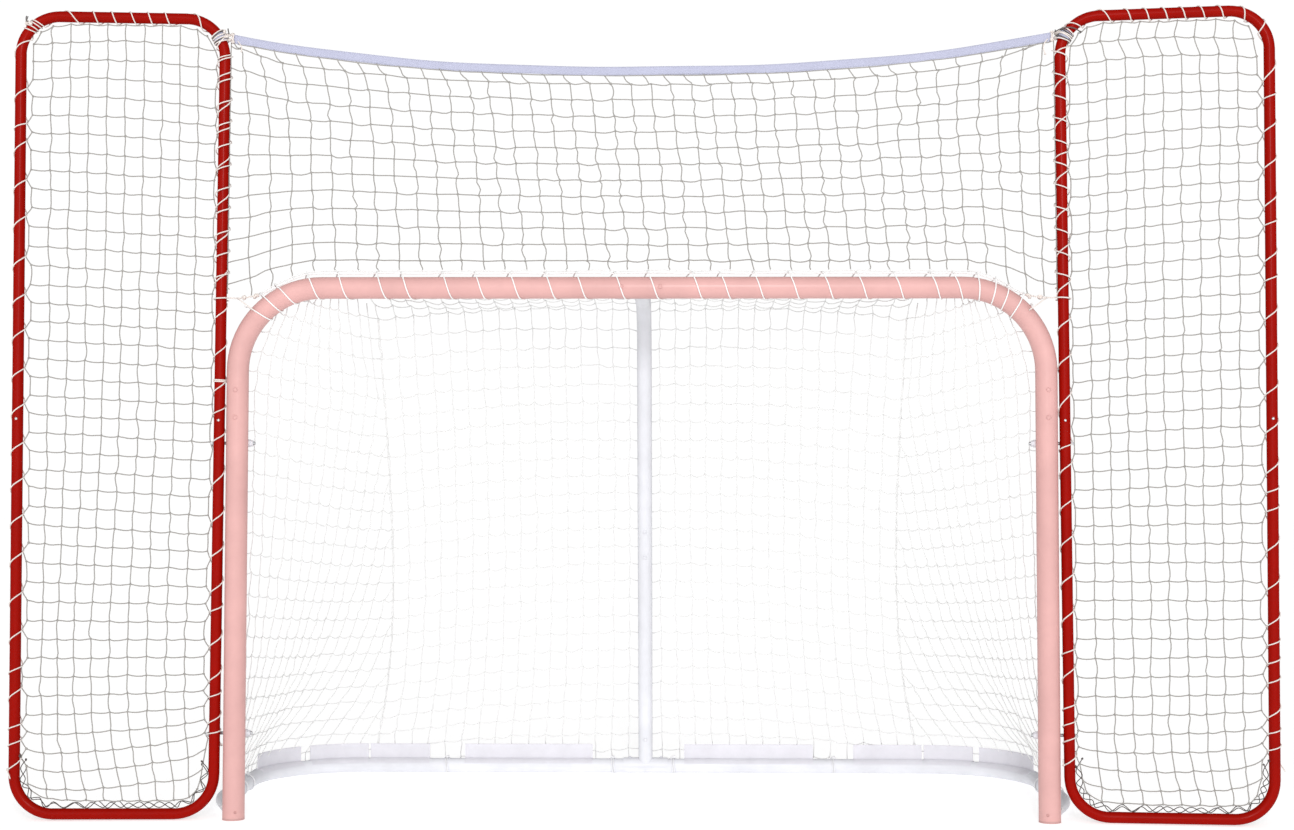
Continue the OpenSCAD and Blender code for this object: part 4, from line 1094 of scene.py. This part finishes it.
def strap_loop(side, body, prefix):
    """The strap's sewn end, folded round the wing's corner bend."""
    mk = Maker()
    a0 = math.asin((STRAP_END_Z - HIGH_Z) / WING_R)
    ang = math.pi - a0
    n = 34
    phi = np.linspace(0, 2 * math.pi, n, endpoint=True)
    centre_dir = np.array([math.cos(ang), 0.0, math.sin(ang)])
    tang = np.array([-math.sin(ang), 0.0, math.cos(ang)])
    rows = 9
    v, faces, uv = [], [], []
    for layer, rad in ((0, WR + 2.45), (1, WR + 0.35)):
        for i in range(rows):
            w = (i / (rows - 1) - 0.5) * 2
            a = ang + w * (STRAP_W / 2) / WING_R
            cdir = np.array([math.cos(a), 0.0, math.sin(a)])
            c = np.array([WING_R, 0.0, HIGH_Z]) + WING_R * cdir
            r = rad - (0.35 if layer == 0 and abs(w) > 0.95 else 0.0) + 0.12 * math.sin(5 * w)
            v.append(c + r * (np.cos(phi)[:, None] * cdir + np.sin(phi)[:, None] * np.array([0, -1.0, 0])))
    v = np.concatenate(v)
    for layer in (0, 1):
        for i in range(rows - 1):
            for j in range(n - 1):
                a, b = (layer * rows + i) * n + j, (layer * rows + i + 1) * n + j
                f = [a, a + 1, b + 1, b] if layer == 0 else [a, b, b + 1, a + 1]
                faces.append(f)
                w0, w1 = i / (rows - 1), (i + 1) / (rows - 1)
                s0, s1 = j / (n - 1) * 9.4, (j + 1) / (n - 1) * 9.4
                uv.append([(w0, s0), (w0, s1), (w1, s1), (w1, s0)] if layer == 0 else [(w0, s0), (w1, s0), (w1, s1), (w0, s1)])
    for j in range(n - 1):
        for i, flip in ((0, False), (rows - 1, True)):
            a, b = i * n + j, (rows + i) * n + j
            f = [a, b, b + 1, a + 1] if not flip else [a, a + 1, b + 1, b]
            faces.append(f)
            uv.append([(0.01, j / 4.0), (0.01, j / 4.0), (0.02, j / 4.0), (0.02, j / 4.0)])
    mk.add(wing_place(v, side), np.array(faces) if side > 0 else np.array(faces)[:, ::-1], np.array(uv) if side > 0 else np.array(uv)[:, ::-1])
    mk.make(prefix + "_strap_loop_webbing", M_STRAP, body, (prefix + "_strap_loop",), "strap_webbing")


for side_, body_, prefix_ in ((-1, "left_wing", "left"), (1, "right_wing", "right")):
    strap_loop(side_, body_, prefix_)


# ------------------------------------------------------------------ goal net
R_GOAL = 1.3
BORDER_Y = GR + 7.0
RO = RR + 2.2
HEM_LOW = 24.0
TAN_L = math.tan(LEG_ANG)
ELBOW_T = ELBOW_R * math.tan((math.pi / 2 - LEG_ANG) / 2)


def resample(p, step=2.0):
    p = np.asarray(p, float)
    s = np.concatenate([[0], np.cumsum(np.linalg.norm(np.diff(p, axis=0), axis=1))])
    t = np.linspace(0, s[-1], max(2, int(s[-1] / step)))
    return np.stack([np.interp(t, s, p[:, i]) for i in range(p.shape[1])], -1), t


def leg_y(z):
    y = BASE_Y - TAN_L * (z - RR) + RO / math.cos(LEG_ANG)
    return y + np.clip((150 - z) / 90, 0, 1) * 3 + np.clip((84 - z) / 60, 0, 1) * (783 - 3 - (BASE_Y - TAN_L * 65 + RO / math.cos(LEG_ANG)))


def ridge_line():
    za, ya = BAR_Z - ELBOW_R, SHELF_Y - ELBOW_T
    th = np.linspace(math.pi / 2 - LEG_ANG, 0, 40)
    z_leg = np.arange(HEM_LOW, za + (ELBOW_R + RO) * math.cos(th[0]), 4.0)
    pts = [(leg_y(z), z) for z in z_leg]
    pts += [(ya + (ELBOW_R + RO) * math.sin(t), za + (ELBOW_R + RO) * math.cos(t)) for t in th]
    pts += [(y, BAR_Z + RO) for y in np.arange(ya - 4, 60, -6.0)] + [(48, BAR_Z + RO - 2), (BORDER_Y, BAR_Z + 11)]
    return resample(pts)


RIDGE, RIDGE_S = ridge_line()


def crease(z):
    """The fold between back and side, for one half: x, y at height z."""
    z = np.asarray(z, float)
    t = (1196.0 - z) / 1112.0
    x = 634 + 93 * np.clip(t, 0, 1) ** 3.6
    y = 124 + 640 * np.minimum(t, 1.0) + np.clip((84 - z) / 60, 0, 1) * 16
    return x, y


def crease_line():
    pts = [(*crease(z), z) for z in np.arange(HEM_LOW, 1194.0, 4.0)]
    pts += [(635.0, 124.0, 1196.0), (637.0, 104.0, 1203.0), (645.0, BORDER_Y, BAR_Z - 5)]
    return resample(pts)


CREASE, CREASE_S = crease_line()
ROW_H = 46.4
Z_ROW0 = 1172.0
CR0 = float(np.interp(Z_ROW0, CREASE[:450, 2], CREASE_S[:450])) if len(CREASE) > 450 else 0.0
RISE = 50.0


def s_at_z(line, s, z, col):
    k = int(np.argmax(line[:, col]))
    return float(np.interp(z, line[:k + 1, col], s[:k + 1]))


CR0 = s_at_z(CREASE, CREASE_S, Z_ROW0, 2)
RG0 = s_at_z(RIDGE, RIDGE_S, Z_ROW0 + RISE, 1)
CL, RL = CREASE_S[-1] - CR0, RIDGE_S[-1] - RG0
HALF = 16


def on_line(line, s, t):
    return np.stack([np.interp(t, s, line[:, i]) for i in range(line.shape[1])], -1)


def back_point(u, z):
    """A point of the back panel: u 0 at the crease, 1 on the centre leg."""
    cx, cy = crease(z)
    k = int(np.argmax(RIDGE[:, 1]))
    ry = np.interp(z, RIDGE[:k + 1, 1], RIDGE[:k + 1, 0])
    bump = 5.0 * np.exp(-((1 - u) * 8.0) ** 2) * (z < 150)
    return np.stack([cx * (1 - u), cy + (ry - cy) * u + bump - 7.0 * np.sin(math.pi * u) * np.clip((z - 60) / 300, 0, 1), z + 0 * u], -1)


def back_net(side, rng):
    """Knots of the back and top panels for one half. Rows run from the crossbar (-n) to the foot."""
    rows = {}
    u = np.linspace(0, 1, HALF + 1)
    for k in range(-11, 27):
        if k < 0:
            L = CL + (RL - CL) * u
            fr = -k * ROW_H / L
            ok = -k * ROW_H < L - 12
            a = on_line(CREASE, CREASE_S, CR0 + np.clip(fr, 0, 1) * CL)
            b = on_line(RIDGE, RIDGE_S, RG0 + np.clip(fr, 0, 1) * RL)
            b = np.stack([0 * b[:, 0], b[:, 0], b[:, 1]], -1)
            p = a + (b - a) * u[:, None]
            p[:, 2] -= 6.0 * np.sin(math.pi * u)
        else:
            z = Z_ROW0 - ROW_H * k + RISE * (1 - (1 - u) ** 2.2)
            ok = z > HEM_LOW + 12
            p = back_point(u, np.maximum(z, HEM_LOW))
        p = p + rng.normal(0, 1.0, p.shape) * [1.4, 1.2, 1.3] * ((u > 0) & (u < 1))[:, None]
        p[:, 0] *= side
        if ok.any():
            rows[k] = (p, ok)
    return rows, u


def span_rest(p, rest):
    d = np.linalg.norm(np.diff(np.asarray(p, float), axis=0), axis=1)
    return np.maximum(rest, d * 1.004)


def goal_back_and_top():
    rng = np.random.default_rng(23)
    top, back = Maker(), Maker()
    halves = {s: back_net(s, rng) for s in (-1, 1)}
    # the halves share the knots on the centre leg
    for k in halves[1][0]:
        halves[-1][0][k][0][-1] = halves[1][0][k][0][-1]
    u = np.linspace(0, 1, HALF + 1)
    n_cols = 2 * HALF + 1
    grid, good = {}, {}
    for k in halves[1][0]:
        pl, okl = halves[-1][0][k]
        pr, okr = halves[1][0][k]
        grid[k] = np.vstack([pl, pr[-2::-1]])
        good[k] = np.concatenate([okl, okr[-2::-1]])
    uu = np.concatenate([u, u[-2::-1]])
    sg = np.concatenate([np.full(HALF + 1, -1.0), np.full(HALF, 1.0)])

    def bar_point(j):
        x = sg[j] * 645.0 * (1 - uu[j])
        return np.array([x, BORDER_Y, BAR_Z - 5 + 16 * uu[j] + rng.normal(0, 0.6)])

    def hem_point(j):
        p = back_point(np.array([uu[j]]), np.array([HEM_LOW]))[0]
        p[0] *= sg[j]
        return p

    for k in sorted(grid):
        mk = top if k < 0 else back
        ok = good[k]
        idx = np.flatnonzero(ok)
        if len(idx) < 2:
            continue
        cuts = np.split(idx, np.flatnonzero(np.diff(idx) > 1) + 1)
        for part in cuts:
            line = [grid[k][j] for j in part]
            if part[0] > 0:
                j = part[0]
                line = [0.45 * bar_point(j) + 0.55 * bar_point(j - 1) if k < 0 else 0.5 * (hem_point(j) + hem_point(j - 1))] + line
            if part[-1] < n_cols - 1:
                j = part[-1]
                line = line + [0.45 * bar_point(j) + 0.55 * bar_point(j + 1) if k < 0 else 0.5 * (hem_point(j) + hem_point(j + 1))]
            net_cord(mk, line, span_rest(line, 47.2), R_GOAL, rng, wob=0.7, limit=6.0)
        tie_knots(mk, grid[k][idx], rng, 0.95, SMALL_KNOT)
    for j in range(n_cols):
        up_ = [k for k in sorted(grid) if k < 0 and good[k][j]]
        line = [bar_point(j)] + [grid[k][j] for k in up_] + [grid[0][j]]
        net_cord(top, line, span_rest(line, 46.8), R_GOAL, rng, wob=0.7)
        down = [k for k in sorted(grid) if k >= 0 and good[k][j]]
        line = [grid[k][j] for k in down] + [hem_point(j)]
        if j in (0, n_cols - 1):
            for o in (-1.2, 1.3):
                net_cord(back, np.array(line) + [o, 0.4 * o, 0], span_rest(line, 46.9), R_GOAL, rng, wob=1.1)
        else:
            net_cord(back, line, span_rest(line, 47.2), R_GOAL, rng, wob=0.8)
    # edge cords: along the crossbar and behind the rail
    xs = np.arange(-645, 646, 9.0)
    top.tube(np.stack([xs, BORDER_Y + 0.6 * np.sin(xs / 21.0), BAR_Z - 5 + 16 * (1 - np.abs(xs) / 645) + 0.5 * np.sin(xs / 15.0)], -1), 1.9, 6)
    uh = np.linspace(0, 1, 75)
    h = back_point(uh, np.full(75, HEM_LOW))
    left = h.copy()
    left[:, 0] *= -1
    back.tube(np.vstack([left, h[-2::-1]]), 2.0, 6)
    top.make("goal_net_top_cords", M_GOALNET, "goal_frame", ("goal_net_top",), "goal_net_cord")
    back.make("goal_net_back_cords", M_GOALNET, "goal_frame", ("goal_net_back",), "goal_net_cord")
    return grid, good


SMALL_KNOT = joined(sphere_template(2.2, 2.0, 2.4, 5, 3), ring_template(1.8, 1.1, [1.0, 0.2, 0.6], 6, 4))
back_grid, back_good = goal_back_and_top()


def rail_line():
    """The base rail's centre from the post to the crease's foot, with its outward direction (one half)."""
    a = math.radians(21.0)
    pts = [(939.9 + t * math.sin(a), t * math.cos(a)) for t in np.linspace(36, 187.2 - 33.4, 30)]
    c = (BASE_HW - 180.0, 174.8 + 33.4)
    pts += [(c[0] + 180 * math.cos(t), c[1] + 180 * math.sin(t)) for t in np.linspace(-a, 0, 14)]
    pts += [(BASE_HW, y) for y in np.linspace(212, BASE_Y - BASE_R, 40)]
    pts += [(BASE_HW - BASE_R + BASE_R * math.cos(t), BASE_Y - BASE_R + BASE_R * math.sin(t)) for t in np.linspace(0, math.pi / 2, 60)]
    pts += [(727.0, BASE_Y)]
    p, s = resample(pts, 3.0)
    t = unit(np.gradient(p, axis=0))
    return p, np.stack([t[:, 1], -t[:, 0]], -1), s


RAIL, RAIL_N, RAIL_S = rail_line()
TOPS = np.array([(-852, 33, 1186), (-826, 33, 1201), (-800, 33, 1212), (-776, 33, 1220), (-763, 33, 1223), (-749, 33, 1225), (-731, 34, 1226), (-714, 36, 1226),
                 (-695, 48, 1222), (-674, 70, 1214), (-656, 98, 1205)], float)
TOPS[:, 0] *= -1


def meshes_at(z):
    return 11.0 + 8.0 * np.clip((1050.0 - z) / 966.0, 0, 1.03)


def border_xy(z):
    if z <= BEND_Z:
        return np.array([POST_X - 4.0, BORDER_Y])
    h = min(z - BEND_Z, CORNER_R - 1)
    return np.array([BEND_X + math.sqrt(CORNER_R ** 2 - h ** 2) - 4.0, BORDER_Y])


def side_point(f, z):
    """A point of the side panel: f 0 at the post, 1 at the crease."""
    cx, cy = crease(z)
    p0 = border_xy(min(z, BEND_Z))
    out = 6.0 + (RR + 3.8 - 6.0) * np.clip((84 - z) / 60, 0, 1)
    base = lambda g: np.stack([np.interp(g * RAIL_S[-1], RAIL_S, RAIL[:, i] + RAIL_N[:, i] * out) for i in (0, 1)], -1)
    o = base(f) - (base(0.0) * (1 - f) + base(1.0) * f)
    h = max(0.0, (z - 84.0) / 1112.0)
    w = (1 - h) ** 4.2
    p = p0 * (1 - f) + np.array([cx, cy]) * f + o * w
    edge = (base(0.0) - p0) * (1 - f) ** 8 * np.clip((84 - z) / 60, 0, 1)
    return np.array([p[0] + edge[0], p[1] + edge[1], z])


def side_net(side, name, node):
    rng = np.random.default_rng(60 + side)
    mk = Maker()
    nodes = {}
    ends = {}
    fall_of = lambda zc: 37 + 23 * np.clip((zc - 300) / 500, 0, 1) if zc > 300 else 37 * np.clip((zc - 40) / 260, 0.12, 1)
    for k in range(0, 26):
        zc = Z_ROW0 - ROW_H * k
        if zc < HEM_LOW + 10:
            continue
        fall = fall_of(zc)
        power = 1.15 + 0.8 * np.clip((1000 - zc) / 800, 0, 1)
        last = None
        for i in range(19, 0, -1):
            z = zc
            for _ in range(4):
                n = meshes_at(z)
                f = min(i / n, 1.0)
                z = zc + fall * (1 - f) ** power
            if i > n - 0.4:
                continue
            if z <= 1010:
                p = side_point(f, z)
            else:
                if i > 11:
                    continue
                t_ = TOPS[i - 1]
                if z > t_[2] - 9:
                    break
                p1 = side_point(i / 11.3, 1010.0)
                a = (z - 1010.0) / (t_[2] - 1010.0)
                e = a ** 1.5 if i < 9 else a
                p = np.array([p1[0] + (t_[0] - p1[0]) * e, p1[1] + (t_[1] - p1[1]) * a, z])
            p = p + rng.normal(0, 1.0, 3) * [1.2, 1.2, 1.0]
            nodes[(k, i)] = p
            last = i
        if last is None:
            continue
        if last == 1:
            zb = zc + fall
            ends[k] = np.array([*border_xy(zb), zb])
            if zb < 84:
                q_ = side_point(0.0, zb)
                ends[k] = q_
        else:
            t_ = TOPS[last - 2] if last >= 2 else TOPS[0]
            ends[k] = np.array([t_[0], BORDER_Y, t_[2] - 3])
    flip = np.array([side, 1, 1.0])
    crease_knots = {k: back_grid[k][0 if side < 0 else -1] * np.array([1, 1, 1.0]) for k in back_grid if k >= 0}
    for k in range(0, 26):
        cols = sorted(i for (kk, i) in nodes if kk == k)
        if not cols or k not in crease_knots:
            continue
        line = [ends[k] * flip] + [nodes[(k, i)] * flip for i in cols] + [crease_knots[k]]
        net_cord(mk, line, span_rest(line, 43.5), R_GOAL, rng, wob=0.8, limit=5.5)
    for i in range(1, 20):
        ks = sorted(kk for (kk, ii) in nodes if ii == i)
        if not ks:
            continue
        if i <= 11:
            head = TOPS[i - 1]
        else:
            zi = 1050 - (i - 11) * 966 / 8.0 + 12
            zi = min(zi, nodes[(ks[0], i)][2] + 34)
            head = np.array([*crease(zi), zi])
        foot = side_point(min(i / 19.2, 1.0), HEM_LOW)
        line = [head * flip] + [nodes[(k, i)] * flip for k in ks] + [foot * flip]
        net_cord(mk, line, span_rest(line, 47.0), R_GOAL, rng, wob=0.9)
    pts = np.array([p for p in nodes.values()]) * flip
    tie_knots(mk, pts, rng, 0.95, SMALL_KNOT)
    # the front edge along the post, the bend and the crossbar, and the lower edge behind the rail
    zs = np.arange(30.0, BEND_Z, 9.0)
    edge = [[*(border_xy(z) + [0.7 * math.sin(z / 17.0), 0]), z] for z in zs]
    edge += [[BEND_X + CORNER_R * math.cos(a) - 4 * math.cos(a), BORDER_Y, BEND_Z + CORNER_R * math.sin(a) - 4 * math.sin(a)] for a in np.linspace(0.03, math.pi / 2, 34)]
    edge += [[x, BORDER_Y, BAR_Z - 4.5] for x in np.arange(BEND_X - 8, 646, -8.0)]
    mk.tube(np.array(edge) * flip, 1.9, 6)
    low = np.array([side_point(f, HEM_LOW) for f in np.linspace(0, 1, 90)])
    mk.tube(low * flip, 2.0, 6)
    # short ties that hold the edge to the pegs
    for z in np.arange(140, 900, 150.0):
        a = np.linspace(0, 2 * math.pi, 13)
        ring = np.stack([POST_X - 1.5 + 5.2 * np.cos(a), np.full(13, BORDER_Y - 2.4) + 0.6 * np.sin(a), z + 5.0 * np.sin(a)], -1)
        mk.tube(ring * flip, 1.1, 5)
    mk.make(name, M_GOALNET, "goal_frame", (node,), "goal_net_cord")


side_net(-1, "goal_net_left_cords", "goal_net_left")
side_net(1, "goal_net_right_cords", "goal_net_right")


# ------------------------------------------------------------------ lace round the crossbar
def crossbar_route():
    """The bar's centre line from the left post over both bends to the right one, with its direction away from the mouth."""
    a = np.linspace(math.pi - 0.50, math.pi / 2, 40)
    left = [(-BEND_X + CORNER_R * math.cos(t), BEND_Z + CORNER_R * math.sin(t), math.cos(t), math.sin(t)) for t in a]
    mid = [(x, BAR_Z, 0.0, 1.0) for x in np.arange(-BEND_X + 4, BEND_X, 4.0)]
    a = np.linspace(math.pi / 2, 0.50, 40)
    rt = [(BEND_X + CORNER_R * math.cos(t), BEND_Z + CORNER_R * math.sin(t), math.cos(t), math.sin(t)) for t in a]
    p = np.array(left + mid + rt)
    s = np.concatenate([[0], np.cumsum(np.hypot(*np.diff(p[:, :2], axis=0).T))])
    return p, s


def crossbar_lace():
    rng = np.random.default_rng(3)
    p, s = crossbar_route()
    s_of_x = lambda x: float(np.interp(x, p[:, 0], s))
    xs = [-893, -866, -838, -775, -707]
    x = -707 + 80
    while x < 700:
        xs.append(x + rng.normal(0, 5))
        x += 81.0
    xs += [724, 775, 812, 838, 866, 888]
    starts = sorted(s_of_x(v) for v in xs)
    out, step = [], 18
    u = np.arange(step) / step
    # the front takes less than half of the pitch; the rest runs behind the bar, round the nets' edges
    for a, b in zip(starts[:-1], starts[1:]):
        pitch = b - a
        front = min(0.5, 27.0 / pitch) if pitch > 40 else 0.45
        g = np.where(u < 0.5, u / 0.5 * front, front + (u - 0.5) / 0.5 * (1 - front))
        k = np.array([0.25, 0.5, 0.25])
        gp = np.concatenate([[g[-1] - 1], g, [1.0]])
        g = np.convolve(gp, k, "valid")
        t = a + pitch * g
        c = np.stack([np.interp(t, s, p[:, 0]), 0 * t, np.interp(t, s, p[:, 1])], -1)
        n = unit(np.stack([np.interp(t, s, p[:, 2]), 0 * t, np.interp(t, s, p[:, 3])], -1))
        phi = 2 * math.pi * u
        back_ = np.exp(-((phi - 1.55 * math.pi) / 0.75) ** 2)
        top_ = np.exp(-(np.minimum(phi, 2 * math.pi - phi) / 0.42) ** 2)
        r = GR + 1.7 + 8.0 * back_ + 11.0 * top_ * (np.abs(c[:, 0]) < 930)
        out.append(c + (r * np.cos(phi))[:, None] * n + (r * np.sin(phi))[:, None] * np.array([0, -1.0, 0]))
    path = spline(np.concatenate(out), 6.0)
    mk = Maker()
    mk.tube(path, 1.6, 6)
    made_lengths["crossbar_lace"] = length_of(path)
    tie_knots(mk, path[[0, -1]], rng, 1.5)
    mk.make("crossbar_lace_cord", M_WHITE, "goal_frame", ("crossbar_lace",), "lace_cord")


crossbar_lace()


# ------------------------------------------------------------------ ties round the base rail
def base_ties():
    rng = np.random.default_rng(5)
    mk = Maker()
    spots = [((x, BASE_Y), (1.0, 0.0), (0.0, 1.0)) for x in (-536, -88, 74, 505)]
    spots += [((s * BASE_HW, y), (0.0, 1.0), (s * 1.0, 0.0)) for s in (-1, 1) for y in (270, 350, 430)]
    total = 0.0
    for (cx, cy), along, outw in spots:
        along, outw = np.array([*along, 0.0]), np.array([*outw, 0.0])
        upz = np.array([0.0, 0, 1])
        for shift in (-1.9, 1.9):
            a = np.linspace(-0.15, 2 * math.pi - 0.2, 27)
            r = RR + 2.0 + 2.6 * np.exp(-((a - 0.5) / 0.5) ** 2)
            c = np.array([cx, cy, RR]) + along * (shift + rng.normal(0, 0.3))
            path = c + (r * np.sin(a))[:, None] * outw + (r * np.cos(a))[:, None] * upz + along * (1.4 * np.sin(2 * a))[:, None]
            path[:, 2] = np.maximum(path[:, 2], 1.7)
            mk.tube(path, 1.5, 6)
            total += length_of(path)
        knot = np.array([cx, cy, RR]) + upz * (RR + 4.0) - outw * 3.0
        tie_knots(mk, [knot, knot + along * 2.5 + upz * 1.5], rng, 1.7)
        for d in (-1, 1):
            e = knot + np.outer(np.linspace(0, 1, 5), along * d * 9 + upz * 6 - outw * 4) + np.array([[0, 0, -0.6 * t * t] for t in range(5)])
            mk.tube(e, 1.4, 5)
            total += length_of(e)
    made_lengths["base_ties"] = total
    mk.make("base_net_tie_cords", M_TIE, "goal_frame", ("base_net_ties",), "tie_cord")


base_ties()


# ------------------------------------------------------------------ stage
def stage():
    m, nt, b = start("studio_floor")
    b.inputs["Base Color"].default_value = (0.74, 0.74, 0.74, 1)
    b.inputs["Roughness"].default_value = 0.9
    b.inputs["Specular IOR Level"].default_value = 0.0
    sep = nt.nodes.new("ShaderNodeSeparateXYZ")
    nt.links.new(object_coord(nt), sep.inputs[0])
    far = math_node(nt, "MULTIPLY", math_node(nt, "SUBTRACT", sep.outputs[1], 0.5), 1 / 7.0)
    nt.links.new(ramp(nt, far, [(0.0, (FLOOR_NEAR,) * 3), (1.0, (FLOOR_FAR,) * 3)]), b.inputs["Emission Color"])
    b.inputs["Emission Strength"].default_value = 1.0
    mesh = bpy.data.meshes.new("floor")
    mesh.from_pydata([(-60.0, -60.0, -0.0004), (60.0, -60.0, -0.0004), (60.0, 90.0, -0.0004), (-60.0, 90.0, -0.0004)], [], [(0, 1, 2, 3)])
    mesh.materials.append(m)
    o = bpy.data.objects.new("floor", mesh)
    bpy.context.scene.collection.objects.link(o)

    world = bpy.data.worlds.new("studio")
    bpy.context.scene.world = world
    world.use_nodes = True
    nt = world.node_tree
    lit = nt.nodes["Background"]
    lit.inputs["Color"].default_value = (1, 1, 1, 1)
    where = nt.nodes.new("ShaderNodeTexCoord")
    sep = nt.nodes.new("ShaderNodeSeparateXYZ")
    nt.links.new(where.outputs["Generated"], sep.inputs[0])
    front = math_node(nt, "POWER", math_node(nt, "MAXIMUM", math_node(nt, "MULTIPLY", sep.outputs[1], -1.0), 0.0), 2.0)
    nt.links.new(math_node(nt, "ADD", math_node(nt, "MULTIPLY", front, WORLD_FRONT), WORLD_LIGHT), lit.inputs["Strength"])
    seen = nt.nodes.new("ShaderNodeBackground")
    seen.inputs["Color"].default_value = (1, 1, 1, 1)
    seen.inputs["Strength"].default_value = 1.02
    path = nt.nodes.new("ShaderNodeLightPath")
    mix = nt.nodes.new("ShaderNodeMixShader")
    nt.links.new(path.outputs["Is Camera Ray"], mix.inputs[0])
    nt.links.new(lit.outputs[0], mix.inputs[1])
    nt.links.new(seen.outputs[0], mix.inputs[2])
    nt.links.new(mix.outputs[0], nt.nodes["World Output"].inputs["Surface"])

    def area(name, at, target, size, power):
        d = bpy.data.lights.new(name, "AREA")
        d.shape = "RECTANGLE"
        d.size, d.size_y = size
        d.energy = power
        o = bpy.data.objects.new(name, d)
        o.location = at
        o.rotation_euler = (Vector(target) - Vector(at)).to_track_quat("-Z", "Y").to_euler()
        bpy.context.scene.collection.objects.link(o)

    for light in LIGHTS:
        area(*light)


FLOOR_NEAR = 0.555
FLOOR_FAR = 0.58
WORLD_LIGHT = 0.36
WORLD_FRONT = 1.9
LIGHTS = (
    ("strobe", (0.35, -6.3, 2.55), (0, 0, 1.0), (0.55, 0.9), 105),
)
stage()
view = bpy.context.scene.view_settings
view.view_transform = "Standard"
view.look = "None"
view.exposure = 0.0

print("LENGTHS", json.dumps({k: round(v / 1000.0, 2) for k, v in made_lengths.items()}))
total_tris = sum(len(p.vertices) - 2 for o in bpy.context.scene.objects if o.type == "MESH" and not o.hide_render for p in o.data.polygons)
print("TRIANGLES", total_tris)
